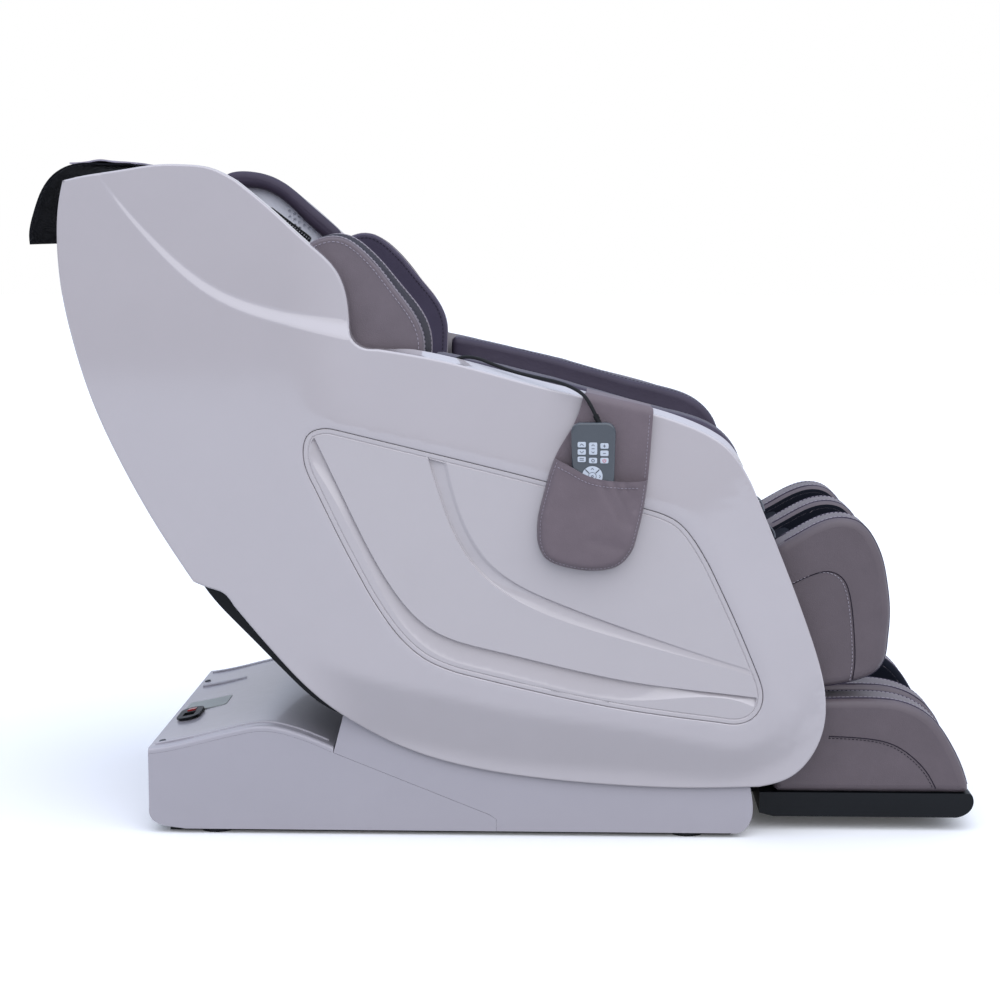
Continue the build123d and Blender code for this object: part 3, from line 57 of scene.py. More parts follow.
def smooth(points, step):
    """Cubic spline through the points, as points about one step apart."""
    p = np.array(points, float)
    t = travelled(p)
    count = max(2, int(round(t[-1] / step)) + 1)
    s = np.linspace(0, t[-1], count)
    if len(p) == 2:
        return p[0] + (p[1] - p[0]) * (s / t[-1])[:, None]
    h = np.diff(t)
    n = len(p)
    a = np.eye(n)
    b = np.zeros_like(p)
    for i in range(1, n - 1):
        a[i, i - 1], a[i, i], a[i, i + 1] = h[i - 1], 2 * (h[i - 1] + h[i]), h[i]
        b[i] = 6 * ((p[i + 1] - p[i]) / h[i] - (p[i] - p[i - 1]) / h[i - 1])
    m = np.linalg.solve(a, b)
    i = np.clip(np.searchsorted(t, s, "right") - 1, 0, n - 2)
    u = ((t[i + 1] - s) / h[i])[:, None]
    v = ((s - t[i]) / h[i])[:, None]
    bend = ((u**3 - u) * m[i] + (v**3 - v) * m[i + 1]) * (h[i] ** 2)[:, None] / 6
    return u * p[i] + v * p[i + 1] + bend


def closed(curves, step):
    """Closed outline of splines and lines, anticlockwise, with no repeated end."""
    line = np.concatenate([smooth(c, step)[:-1] for c in curves])
    x, z = line.T
    area = np.sum(x * np.roll(z, -1) - np.roll(x, -1) * z)
    return line if area > 0 else line[::-1].copy()


def polygon(points, step):
    """Closed outline of straight sides."""
    return closed([[a, b] for a, b in zip(points, points[1:] + points[:1])], step)


def even(line, step):
    """The closed outline again, with its points evenly spaced."""
    ends = loop(line)
    t = travelled(ends)
    s = np.linspace(0, t[-1], max(8, int(round(t[-1] / step))) + 1)[:-1]
    return np.column_stack([np.interp(s, t, ends[:, 0]), np.interp(s, t, ends[:, 1])])


def soften(line, passes):
    """Closed outline with its corners rounded a little more by each pass."""
    for _ in range(passes):
        line = (np.roll(line, 1, axis=0) + 2 * line + np.roll(line, -1, axis=0)) / 4
    return line


def outward(line):
    """Unit normals of an anticlockwise closed outline."""
    run = np.roll(line, -1, axis=0) - np.roll(line, 1, axis=0)
    n = np.column_stack([run[:, 1], -run[:, 0]])
    return n / np.linalg.norm(n, axis=1)[:, None]


def nearest(q, line):
    """Distance from each point to a line, how far along it, and the side: + is left."""
    a = line[:-1]
    run = line[1:] - a
    sq = (run**2).sum(1)
    start = np.concatenate([[0], np.cumsum(np.sqrt(sq))])[:-1]
    d, s, side = np.zeros(len(q)), np.zeros(len(q)), np.zeros(len(q))
    for part in np.array_split(np.arange(len(q)), max(1, len(q) * len(a) // 1500000)):
        p = q[part][:, None, :] - a
        t = np.clip((p * run).sum(2) / sq, 0, 1)
        off = p - t[..., None] * run
        far = (off**2).sum(2)
        k = far.argmin(1)
        r = np.arange(len(part))
        d[part] = np.sqrt(far[r, k])
        s[part] = start[k] + t[r, k] * np.sqrt(sq[k])
        side[part] = np.sign(run[k, 0] * p[r, k, 1] - run[k, 1] * p[r, k, 0])
    return d, s, side


def loop(line):
    """A closed outline with its first point again at its end."""
    return np.vstack([line, line[:1]])


def inside(q, line):
    """Which points lie inside a closed outline."""
    hit = np.zeros(len(q), bool)
    for (x0, z0), (x1, z1) in zip(line, np.roll(line, -1, axis=0)):
        if z0 == z1:
            continue
        cross = (q[:, 1] > min(z0, z1)) & (q[:, 1] <= max(z0, z1))
        hit ^= cross & (q[:, 0] < x0 + (q[:, 1] - z0) * (x1 - x0) / (z1 - z0))
    return hit


def step01(t):
    """Smooth step from 0 to 1."""
    t = np.clip(t, 0, 1)
    return t * t * (3 - 2 * t)


def rounding(d, radius):
    """How far a rounded edge of that radius has fallen, that far in from the edge."""
    e = np.clip(radius - d, 0, radius)
    return radius - np.sqrt(np.maximum(radius**2 - e**2, 0))


def left_of(line):
    """Unit normals to the left of an open line."""
    run = np.gradient(line, axis=0)
    return np.column_stack([-run[:, 1], run[:, 0]]) / np.linalg.norm(run, axis=1)[:, None]


def shifted(line, amounts):
    """Open line moved to its left by its own amount at each point."""
    return line + left_of(line) * np.reshape(amounts, (-1, 1))


def triangles(outline, rims, lines, pitch, keep=None):
    """Triangles that fill an outline: its points come first, then rims inside it, lines and a grid."""
    extra = []
    border = loop(outline)
    for rim in rims:
        ring = outline - outward(outline) * rim
        extra.append(ring[(nearest(ring, border)[0] > rim * 0.96) & inside(ring, outline)])
    for line in lines:
        extra.append(line[(nearest(line, border)[0] > 0.6) & inside(line, outline)])
    low, high = outline.min(0), outline.max(0)
    xs = np.arange(low[0], high[0], pitch)
    zs = np.arange(low[1], high[1], pitch * 0.866)
    grid = np.array([(x + (pitch / 2 if j % 2 else 0), z) for j, z in enumerate(zs) for x in xs])
    room = [(outline, 0.0), (border, (rims[-1] if rims else 0) + pitch * 0.45)]
    room += [(line, pitch * 0.3) for line in lines]
    for line, gap in room:
        if len(grid):
            grid = grid[nearest(grid, line)[0] > gap if gap else inside(grid, line)]
    points = np.vstack([outline, *extra, grid]) if len(grid) else np.vstack([outline, *extra])
    count = len(outline)
    ring = [(i, (i + 1) % count) for i in range(count)]
    verts, _, faces, origin, _, _ = geometry.delaunay_2d_cdt([Vector(p) for p in points], ring, [], 1, 1e-4)
    order = {old: new for new, olds in enumerate(origin) for old in olds}
    slot = {}
    for i in range(count):
        slot[order[i]] = i
    flat = list(outline)
    result = []
    for face in faces:
        if len(set(face)) < 3:
            continue
        for v in face:
            if v not in slot:
                slot[v] = len(flat)
                flat.append(np.array(verts[v][:]))
        result.append([slot[v] for v in face])
    flat = np.array(flat)
    tri = np.array(result)
    a, b, c = flat[tri[:, 0]], flat[tri[:, 1]], flat[tri[:, 2]]
    area = (b[:, 0] - a[:, 0]) * (c[:, 1] - a[:, 1]) - (b[:, 1] - a[:, 1]) * (c[:, 0] - a[:, 0])
    tri[area < 0] = tri[area < 0][:, ::-1]
    tri = tri[np.abs(area) > 1e-5]
    return flat, tri if keep is None else tri[keep(flat[tri].mean(1))]


# ---------------------------------------------------------------- materials
finishes = {}


def linear(r, g, b):
    """Colour for Blender, from one of 0 to 255 as it looks on a screen."""
    out = []
    for v in (r / 255, g / 255, b / 255):
        out.append(v / 12.92 if v <= 0.04045 else ((v + 0.055) / 1.055) ** 2.4)
    return (*out, 1)


def give(node, values):
    """Set a node's inputs, or link them where a value is another node's output."""
    for key, value in values.items():
        if isinstance(value, bpy.types.NodeSocket):
            node.id_data.links.new(value, node.inputs[key])
        else:
            node.inputs[key].default_value = value
    return node


def texture(tree, kind, scale, **settings):
    node = tree.nodes.new(kind)
    place = tree.nodes.get("Texture Coordinate") or tree.nodes.new("ShaderNodeTexCoord")
    give(node, {"Vector": place.outputs["Object"], "Scale": scale})
    for key, value in settings.items():
        if key in node.inputs:
            node.inputs[key].default_value = value
        else:
            setattr(node, key, value)
    return node


def cloudy(tree, scale, detail, roughness=0.5):
    return texture(tree, "ShaderNodeTexNoise", scale, Detail=detail, Roughness=roughness).outputs["Fac"]


def ramp(tree, source, stops):
    node = give(tree.nodes.new("ShaderNodeValToRGB"), {"Fac": source})
    while len(node.color_ramp.elements) < len(stops):
        node.color_ramp.elements.new(0.5)
    for element, (place, color) in zip(node.color_ramp.elements, stops):
        element.position = place
        element.color = (*color[:3], 1)
    return node.outputs["Color"]


def scaled(color, share):
    return [c * share for c in color[:3]]


def tinted(tree, source, color, less, more):
    """The colour, darkened or lightened by a share as the source varies."""
    return ramp(tree, source, [(0.3, scaled(color, 1 - less)), (0.7, scaled(color, 1 + more))])


def rough_from(tree, source, low, high):
    node = tree.nodes.new("ShaderNodeMapRange")
    return give(node, {"Value": source, "To Min": low, "To Max": high}).outputs["Result"]


def bump(tree, source, strength, distance, before=None):
    node = tree.nodes.new("ShaderNodeBump")
    give(node, {"Height": source, "Strength": strength, "Distance": distance})
    if before:
        give(node, {"Normal": before})
    return node.outputs["Normal"]


def new_material(name):
    m = bpy.data.materials.new(name)
    m.use_nodes = True
    finishes[name] = m
    return m, m.node_tree, m.node_tree.nodes["Principled BSDF"]


def plastic(name, color, low, high, coat=0.0, grain=0.0, vary=0.05, shine=0.5):
    """Moulded plastic: faint cloudiness, uneven polish, and a fine spark texture if it has grain."""
    m, tree, shader = new_material(name)
    give(shader, {
        "Base Color": tinted(tree, cloudy(tree, 9.0, 4.0, 0.6), color, vary, vary),
        "Roughness": rough_from(tree, cloudy(tree, 45.0, 6.0, 0.7), low, high),
        "Specular IOR Level": shine, "Coat Weight": coat, "Coat Roughness": 0.08,
    })
    if grain:
        give(shader, {"Normal": bump(tree, cloudy(tree, 900.0, 3.0), grain, 0.0004)})
    return m


def leather(name, color, low=0.36, high=0.52, shine=0.4, sheen=0.06):
    """Grained leather: pebbled cells, finer creases across them, soft wear and a little sheen."""
    m, tree, shader = new_material(name)
    shades = [(0.25, scaled(color, 0.88)), (0.55, color), (0.8, scaled(color, 1.12))]
    pebbles = bump(tree, texture(tree, "ShaderNodeTexVoronoi", 620.0).outputs["Distance"], 0.28, 0.0006)
    give(shader, {
        "Base Color": ramp(tree, cloudy(tree, 14.0, 6.0, 0.65), shades),
        "Roughness": rough_from(tree, cloudy(tree, 70.0, 5.0, 0.7), low, high),
        "Normal": bump(tree, cloudy(tree, 190.0, 8.0, 0.7), 0.22, 0.0012, pebbles),
        "Specular IOR Level": shine, "Sheen Weight": sheen, "Sheen Roughness": 0.5,
    })
    return m


def cloth(name, color, scale=420.0, vary=0.1, weave=0.35):
    """Woven fabric: two crossed wave bands, with uneven yarn colour."""
    m, tree, shader = new_material(name)
    warp, weft = [
        texture(tree, "ShaderNodeTexWave", scale, bands_direction=axis, Distortion=0.6).outputs["Fac"]
        for axis in "XZ"
    ]
    give(shader, {
        "Base Color": tinted(tree, cloudy(tree, 60.0, 6.0, 0.7), color, vary, vary),
        "Roughness": rough_from(tree, warp, 0.82, 0.95),
        "Normal": bump(tree, weft, weave, 0.0005, bump(tree, warp, weave, 0.0005)),
        "Specular IOR Level": 0.2,
    })
    return m


def metal(name, color, low, high):
    """Painted or bare metal: fine brushing and a cloudy finish."""
    m, tree, shader = new_material(name)
    brush = cloudy(tree, 300.0, 4.0)
    give(shader, {
        "Base Color": tinted(tree, cloudy(tree, 25.0, 5.0), color, 0.12, 0.08),
        "Roughness": rough_from(tree, brush, low, high),
        "Normal": bump(tree, brush, 0.08, 0.0003), "Metallic": 0.9,
    })
    return m


shell_white = plastic("shell_white", linear(188, 182, 185), 0.1, 0.16, coat=0.9, vary=0.012)
panel_white = plastic("panel_white", linear(190, 184, 186), 0.12, 0.18, coat=0.7, vary=0.012)
# The liners' white is lighter than the shell's: painted light, to make up for the shade they lie in.
liner_white_painted_light = plastic("liner_white_painted_light", linear(236, 237, 244), 0.12, 0.18, coat=0.7, vary=0.012)
base_white = plastic("base_white", linear(172, 168, 175), 0.2, 0.3, coat=0.3, grain=0.03, vary=0.015)
brown = leather("leather_brown", linear(108, 98, 104))
leg_brown = leather("leather_leg", linear(98, 88, 93))
piping = leather("leather_piping", linear(150, 142, 150))
# Leather of the armrests, wing trims and leg piping: its own deep tone, made deeper still as painted shade
# of the shaded armrest rolls.
dark = leather("leather_dark", linear(68, 61, 76), 0.34, 0.5, shine=0.2, sheen=0.0)
# Two copies of the shoulder pads' leather: the inner faces lighter, as painted light for their shade, and
# the gussets deeper, as painted shade for their sky-lit tops.
inner_face_painted_light = leather("leather_violet", linear(80, 74, 92), 0.34, 0.5, shine=0.2, sheen=0.0)
gusset_painted_shade = leather("leather_gusset", linear(38, 34, 44), 0.5, 0.6, shine=0.1, sheen=0.0)
pouch_skin = leather("pouch_leather", linear(112, 100, 106), 0.42, 0.56)
black_cloth = cloth("fabric_black", linear(10, 12, 18), vary=0.08, weave=0.12)
# Black cloth of the beds' linings; it is also laid over the wells' walls as painted shade.
lining_and_shade_cloth = cloth("fabric_well", linear(10, 14, 26), vary=0.08, weave=0.12)
lilac_cloth = cloth("fabric_lilac", linear(176, 170, 186))
thread = cloth("thread_grey", linear(178, 171, 182), scale=900.0)
dark_thread = cloth("thread_dark", linear(46, 40, 50), scale=900.0)
black_plastic = plastic("black_plastic", linear(14, 17, 21), 0.36, 0.5, grain=0.12, vary=0.12, shine=0.2)
rubber = plastic("rubber_black", linear(18, 20, 23), 0.42, 0.58, grain=0.12, vary=0.15, shine=0.25)
frame_steel = plastic("frame_steel", linear(58, 60, 66), 0.4, 0.55, coat=0.15, grain=0.08, vary=0.1)
metal("rail_steel", linear(165, 167, 172), 0.3, 0.45)
actuator_grey = plastic("actuator_grey", linear(92, 96, 103), 0.35, 0.5, grain=0.1, vary=0.08)
metal("rod_steel", linear(205, 207, 212), 0.14, 0.26)
plastic("roller_grey", linear(120, 122, 130), 0.35, 0.5, grain=0.1, vary=0.08)
handset_grey = plastic("handset_grey", linear(66, 73, 80), 0.18, 0.3, coat=0.4, grain=0.04, vary=0.07)
plastic("key_light", linear(204, 212, 222), 0.3, 0.42, vary=0.03)
key_mark = plastic("key_mark", linear(34, 40, 60), 0.4, 0.5, vary=0.05)
red_mark = plastic("red_mark", linear(196, 60, 84), 0.35, 0.5, vary=0.06)
plastic("rocker_red", linear(170, 28, 30), 0.25, 0.35, coat=0.3, vary=0.05)
plate_grey = plastic("plate_grey", linear(160, 166, 162), 0.35, 0.5, vary=0.05)

# Each material slot of the CAD has a finish of its name; the liners get a lighter white than their slot,
# painted light for the shade they lie in.
node_slot = {part["node"]: part["material_slot"] for part in frame["record"]["subparts"]}
for name, node in frame["nodes"].items():
    node.data.materials.clear()
    node.data.materials.append(liner_white_painted_light if name.startswith("wing_liner") else finishes[node_slot[name]])


# ---------------------------------------------------------------- making pieces
def build(name, verts, faces, finish, body="seat_capsule", slot=None, normals=None, angle=38):
    """Mesh object from points in millimetres, riding on a body. Normals are one for each face corner."""
    mesh = bpy.data.meshes.new(name)
    places = [tuple(v) for v in np.array(verts, float) * 0.001]
    mesh.from_pydata(places, [], [list(map(int, f)) for f in faces])
    mesh.materials.append(finish)
    mesh.polygons.foreach_set("use_smooth", [True] * len(mesh.polygons))
    mesh.update()
    if normals is not None:
        mesh.normals_split_custom_set([tuple(n) for n in normals])
    else:
        mesh.set_sharp_from_angle(angle=math.radians(angle))
    piece = bpy.data.objects.new(name, mesh)
    bpy.context.scene.collection.objects.link(piece)
    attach(piece, body)
    return piece


def turned(verts, faces, normals=None):
    """The same mesh on the other side of the chair."""
    flip = (1, -1, 1)
    verts, faces_back = np.array(verts, float) * flip, [list(f)[::-1] for f in faces]
    if normals is None:
        return verts, faces_back
    out, start = [], 0
    for f in faces:
        out += [n * flip for n in normals[start:start + len(f)][::-1]]
        start += len(f)
    return verts, faces_back, out


def sided(name, data, finish, slot=None, body="seat_capsule"):
    """A piece on the right and its mirror image on the left, in place of CAD nodes of the same name."""
    made = []
    for side in ("right", "left"):
        verts, faces, *normals = data if side == "right" else turned(*data)
        piece = build(f"{name}_{side}_skin", verts, faces, finish, body, slot, *normals)
        if f"{name}_{side}" in frame["nodes"]:
            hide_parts(f"{name}_{side}")
        made.append(piece)
    return made


def at_distance(points, distance):
    """Points of the side view, placed at a distance to the right of the chair's middle."""
    return np.column_stack([points[:, 0], np.zeros(len(points)) - distance, points[:, 1]])


def plate(outline, top, bottom, rims=(), lines=(), pitch=14.0, rise=0.0, rows=1):
    """Closed plate in the side view: its outer face is at distance top(points), its inner at bottom.

    rise lifts the inner edge of the wall between them. Returns points, faces and corner normals."""
    flat, tri = triangles(outline, rims, lines, pitch)
    high = top(flat)
    e = 0.35
    gx = (top(flat + (e, 0)) - top(flat - (e, 0))) / (2 * e)
    gz = (top(flat + (0, e)) - top(flat - (0, e))) / (2 * e)
    n_top = np.column_stack([-gx, -np.ones(len(flat)), -gz])
    edge_n = outward(outline)
    count, total = len(outline), len(flat)
    verts = [at_distance(flat, high)]
    faces = [list(t) for t in tri]
    normals = [n_top[v] for t in tri for v in t]
    low, high = bottom(outline), high[:count]
    previous, above = list(range(count)), np.zeros(count)
    for r in range(1, rows + 1):
        t = r / rows
        now = rise * t**1.3 * np.ones(count)
        ring = outline + edge_n * now[:, None]
        verts.append(at_distance(ring, high + (low - high) * t))
        current = list(range(total, total + count))
        total += count
        slope = (now - above) / np.maximum((high - low) / rows, 0.1)
        wall_n = np.column_stack([edge_n[:, 0], -slope, edge_n[:, 1]])
        for i in range(count):
            j = (i + 1) % count
            faces.append([previous[i], current[i], current[j], previous[j]])
            normals += [wall_n[i], wall_n[i], wall_n[j], wall_n[j]]
        previous, above = current, now
    back, back_tri = triangles(ring, (), (), 45.0)
    inner = back[count:]
    verts.append(at_distance(inner, bottom(inner)))
    index = previous + list(range(total, total + len(inner)))
    faces += [[index[v] for v in t[::-1]] for t in back_tri]
    normals += [np.array([0, 1, 0.0])] * (3 * len(back_tri))
    return np.vstack(verts), faces, [n / np.linalg.norm(n) for n in normals]


pads = {}


def pad_data(name, outline, near, far, edge, crown=0.0, bulge=0.0, pitch=9.0, seams=(), ribs=(),
             wrinkle=0.0, rough=None):
    """Padded body whose section in the side view is the outline, from Y = near to Y = far.

    Its ends are rounded, its middle crowned, seams are grooves round it at a given Y, and ribs are
    grooves along Y at given places of its outline. rough moves points in or out by its own rule."""
    outline = even(outline, pitch)
    n = outward(outline)
    width = far - near
    turn = [(edge * (1 - math.cos(a)), edge * (1 - math.sin(a))) for a in np.radians(range(0, 91, 18))]
    ys = [(near + a, b) for a, b in turn]
    inner_width = width - 2 * edge
    count = max(1, int(round(inner_width / pitch)))
    ys += [(near + edge + inner_width * k / count, 0.0) for k in range(1, count)]
    ys += [(far - a, b) for a, b in turn[::-1]]
    for y, depth, wide in seams:
        ys = [r for r in ys if abs(r[0] - y) > wide * 0.8 or r[1] > 0]
        ys += [(y + k * wide * 0.5, 0.0) for k in (-2, -1, 0, 1, 2)]
    ys = sorted(set(ys))
    rib = np.zeros(len(outline))
    for x, z, depth, wide in ribs:
        rib += depth * np.exp(-(((outline - (x, z)) ** 2).sum(1)) / wide**2)

    def inset(y, base):
        u = (2 * (y - near) / width) - 1
        amount = np.full(len(outline), base - crown * (1 - u * u))
        for at, depth, wide in seams:
            amount += depth * math.exp(-(((y - at) / wide) ** 2))
        return amount + rib + (rough(outline, y) if rough else 0)

    verts, rings, ends = [], [], []
    for y, base in ys:
        points = at_distance(outline - n * inset(y, base)[:, None], -y)
        for k, p in enumerate(points):
            w = noise.noise(Vector(p) * 0.018) + 0.5 * noise.noise(Vector(p) * 0.05)
            points[k, [0, 2]] += n[k] * w * wrinkle
        start = len(verts) * len(points)
        verts.append(points)
        rings.append(list(range(start, start + len(points))))
    size = len(outline)
    faces = [
        [a[(i + 1) % size], b[(i + 1) % size], b[i], a[i]]
        for a, b in zip(rings, rings[1:]) for i in range(size)
    ]
    total = len(rings) * size
    for ring, sign, swell in ((0, -1, np.ravel(bulge)[0]), (-1, 1, np.ravel(bulge)[-1])):
        flat, tri = triangles(verts[ring][:, [0, 2]], (), (), pitch * 1.3)
        inner = flat[size:]
        d = nearest(inner, loop(flat[:size]))[0] if len(inner) else np.zeros(0)
        y = verts[ring][0, 1] + sign * swell * (1 - np.exp(-((d / 22) ** 2)))
        ends.append(at_distance(inner, -y))
        index = rings[ring] + list(range(total, total + len(inner)))
        total += len(inner)
        faces += [[index[v] for v in t[::-sign]] for t in tri]
    pads[name] = (outline, n, inset, near, far, edge)
    return np.vstack(verts + ends), faces


def lined_wall(verts, faces, test, lift=0.4):
    """Thin layer over the faces of a pad whose middles pass a test."""
    normals = np.zeros_like(verts)
    for f in faces:
        a, b, c = verts[f[:3]]
        normals[f] += np.cross(b - a, c - a)
    normals /= np.linalg.norm(normals, axis=1)[:, None] + 1e-9
    chosen = [f for f in faces if test(verts[f].mean(0))]
    used = sorted({v for f in chosen for v in f})
    slot = {v: i for i, v in enumerate(used)}
    count = len(used)
    edges = {(a, b): True for f in chosen for a, b in zip(f, f[1:] + f[:1])}
    out = [[slot[v] for v in f] for f in chosen] + [[slot[v] + count for v in f[::-1]] for f in chosen]
    for a, b in edges:
        if (b, a) not in edges:
            out.append([slot[b], slot[a], slot[a] + count, slot[b] + count])
    return np.vstack([verts[used] + normals[used] * lift, verts[used] - normals[used] * lift]), out


def girth(name, y, lift=0.0):
    """Points round a pad at that Y, standing proud of it by lift."""
    outline, n, inset, near, far, edge = pads[name]
    base = rounding(min(y - near, far - y), edge)
    return at_distance(outline - n * (inset(y, base) - lift)[:, None], -y)


def ring_faces(a, b, count):
    """Faces between two rings of count points that start at a and b."""
    return [[a + k, a + (k + 1) % count, b + (k + 1) % count, b + k] for k in range(count)]


def tube_data(path, radius, sides=8, around=False):
    """Round cord or piping along points; around closes it into a loop."""
    p = np.array(path, float)
    run = np.roll(p, -1, axis=0) - np.roll(p, 1, axis=0) if around else np.gradient(p, axis=0)
    run /= np.linalg.norm(run, axis=1)[:, None] + 1e-9
    u = np.cross(run, (0, 1.0, 0))
    bad = np.linalg.norm(u, axis=1) < 0.05
    u[bad] = np.cross(run[bad], (0.3, 0, 1.0))
    u /= np.linalg.norm(u, axis=1)[:, None]
    v = np.cross(run, u)
    radii = np.broadcast_to(np.array(radius, float), (len(p),))
    angles = np.arange(sides)[:, None] * 2 * math.pi / sides
    verts = np.concatenate([
        p[i] + radii[i] * (np.cos(angles) * u[i] + np.sin(angles) * v[i]) for i in range(len(p))
    ])
    faces = []
    for i in range(len(p) if around else len(p) - 1):
        faces += ring_faces(i * sides, (i + 1) % len(p) * sides, sides)
    if not around:
        faces.append(list(range(sides))[::-1])
        faces.append([(len(p) - 1) * sides + k for k in range(sides)])
    return verts, faces


def joined(parts):
    """Several meshes as one."""
    starts = np.cumsum([0] + [len(verts) for verts, faces in parts])
    faces = [
        [int(i + start) for i in face] for start, (verts, faces) in zip(starts, parts) for face in faces
    ]
    return np.vstack([verts for verts, faces in parts]), faces


def stitch_data(path, length=5.0, gap=2.6, radius=0.7, around=False):
    """A row of stitches that lie along a path, each a short thread that dips in at its ends."""
    p = loop(path) if around else np.array(path, float)
    t = travelled(p)
    parts = []
    at = gap
    while at + length < t[-1]:
        s = np.array([at, at + length * 0.25, at + length * 0.75, at + length])
        row = np.column_stack([np.interp(s, t, p[:, k]) for k in range(3)])
        parts.append(tube_data(row, [radius * 0.45, radius, radius, radius * 0.45], 5))
        at += length + gap
    return joined(parts)


def part_of(path, test):
    """The longest run of a closed path whose points pass a test."""
    good = np.array([test(p) for p in path])
    if good.all():
        return path
    start = int(np.argmin(good))
    rolled, ok = np.roll(path, -start, axis=0), np.roll(good, -start)
    best, run = (0, 0), None
    for i, g in enumerate(list(ok) + [False]):
        if g and run is None:
            run = i
        if not g and run is not None:
            if i - run > best[1] - best[0]:
                best = (run, i)
            run = None
    return rolled[best[0]:best[1]]


SEAT_CORNER = (-180, 378)  # where the faces of seat and back meet
SEAT_DEGREES, BACK_DEGREES = 12.2, 120.3


def slope(degrees_up, along, above):
    a = math.radians(degrees_up)
    return (
        SEAT_CORNER[0] + along * math.cos(a) - above * math.sin(a),
        SEAT_CORNER[1] + along * math.sin(a) + above * math.cos(a),
    )


def seat_point(along, above):
    return slope(SEAT_DEGREES, along, above)


def back_point(along, ahead):
    return slope(BACK_DEGREES, along, -ahead)


# ---------------------------------------------------------------- side shells and panels
rear_edge = [(-511, 443), (-567, 529), (-632, 646), (-677, 746), (-708, 845), (-726, 930), (-732, 1010),
             (-728, 1074), (-721, 1108)]
wing_top = [(-721, 1108), (-690, 1115), (-625, 1125), (-558, 1134), (-520, 1134), (-476, 1129),
            (-432, 1108)]
wing_front = [(-432, 1108), (-378, 1064), (-313, 1005), (-270, 962), (-254, 924), (-248, 880)]
pad_notch = [(-248, 880), (-242, 848), (-226, 835), (-199, 832)]
arm_top = [(-199, 832), (-100, 815), (66, 772), (257, 726), (330, 700), (379, 669), (419, 609)]
arm_front = [
    (419, 609), (467, 495), (519, 360), (545, 272), (549, 205), (530, 148), (489, 106), (440, 91),
]
belly = [
    (440, 91), (325, 88), (196, 92), (67, 103), (-54, 122), (-170, 158), (-264, 213), (-339, 282),
    (-443, 403),
]
rear_step = [(-443, 403), (-460, 424), (-482, 432), (-511, 443)]
shell_outline = closed(
    [rear_edge, wing_top, wing_front, pad_notch, arm_top, arm_front, belly, rear_step], 6,
)
panel_curves = [
    [(-282, 703), (-127, 666), (76, 616), (262, 565)],
    [(262, 565), (296, 549), (322, 521), (351, 473)],
    [(351, 473), (397, 375), (433, 290)],
    [(433, 290), (443, 250), (430, 217), (402, 204), (370, 207)],
    [(370, 207), (226, 227), (67, 259), (-70, 292)],
    [(-70, 292), (-120, 313), (-160, 346), (-217, 427)],
    [(-217, 427), (-261, 511), (-304, 600)],
    [(-304, 600), (-324, 655), (-314, 694), (-282, 703)],
]
panel_outline = soften(closed(panel_curves, 4), 6)
swoosh = smooth(
    [(-672, 1128), (-629, 1069), (-568, 998), (-507, 941), (-459, 910), (-366, 876), (-240, 847)], 4,
)
low_upper = smooth(
    [(-302, 682), (-246, 564), (-180, 440), (-113, 367), (-10, 331), (226, 277), (424, 251), (438, 249)], 4,
)
low_lower = smooth(
    [(438, 228), (424, 236), (226, 246), (67, 275), (-25, 298), (-100, 322), (-150, 362), (-200, 440),
     (-292, 618), (-313, 664), (-308, 694)], 4,
)
high_lower = smooth([(-119, 662), (-98, 591), (-39, 472), (50, 406), (161, 364), (417, 290), (430, 286)], 4)
high_upper = smooth([(430, 296), (417, 300), (264, 351), (100, 412), (-9, 475), (-68, 582), (-86, 654)], 4)
low_area = np.vstack([low_upper, low_lower])
high_area = np.vstack([high_lower, high_upper])
# Where the shell's flat field turns in to its borders: along the bottom, up the front, back above.
crease = smooth([
    (-333, 324), (-240, 286), (-100, 253), (33, 224), (227, 195), (355, 169), (403, 164), (451, 182),
    (469, 211), (462, 250), (443, 309), (384, 435), (351, 513), (321, 553), (291, 573), (250, 585),
    (79, 632), (-175, 695), (-260, 713), (-363, 741),
], 6)
BALL = 9000.0  # radius of the shells' crowned faces
HALF = 390.0  # how far to the side they reach
RIM = 344.0  # how near to the middle their borders come
PANEL_POCKET = 11.5  # depth of the pocket that the panel lies in
CROWN_MIDDLE = np.array((-80, 600))
WING_STEP = 9  # how much more the wing's face stands out at the swoosh's low end than at its top


def crown(q, inset=0.0):
    """Distance to the right of the side shells' crowned face."""
    off = q - CROWN_MIDDLE
    return np.sqrt((BALL - inset) ** 2 - off[:, 0] ** 2 - off[:, 1] ** 2) - (BALL - HALF)


def wing(q):
    """The same for the wing's face above the swoosh."""
    first, last = np.array((-668.0, 1122.0)), np.array((-246.0, 848.0))
    run = first - last
    shift = run / (run @ run) * WING_STEP * BALL
    level = (2 * (first - CROWN_MIDDLE) @ shift - shift @ shift) / (2 * BALL)
    off = q - (shift + CROWN_MIDDLE)
    return np.sqrt(BALL**2 - off[:, 0] ** 2 - off[:, 1] ** 2) - (BALL - HALF + level)


swoosh_length = nearest(swoosh[-1:], swoosh)[1][0]


def ledge_width(s):
    return 4 + 21 * s / swoosh_length


def shell_face(q):
    face = crown(q)
    d, s, side = nearest(q, swoosh)
    t = np.where(side > 0, np.clip(d / ledge_width(s), 0, 1), 0)
    face = face + (wing(q) - face) * (0.7 * t + 0.3 * step01(t))
    # The borders: steep along the bottom, less so at the front, slight along the top.
    fade = step01((q[:, 0] + 350) / 130)
    d, s, side = nearest(q, crease)
    out = np.where(side < 0, d, -d)
    front, top = step01((s - 780) / 120), step01((s - 1080) / 160)
    steep = 0.35 - 0.21 * front - 0.05 * top
    face = face - fade * steep * 4 * np.logaddexp(0, out / 4)
    # The pocket that the panel lies in, with a small rounded lip.
    d = nearest(q, loop(panel_outline))[0]
    d = np.where(inside(q, panel_outline), d, -d)
    lip = 0.8 * np.exp(-np.clip(-d, 0, 9) / 1.2) * (d < 0)
    face = face - PANEL_POCKET * step01((d + 0.2) / 1.6) - lip
    d = nearest(q, loop(shell_outline))[0]
    return RIM + 2 * np.logaddexp(0, (face - RIM) / 2) - rounding(d, 3.6)


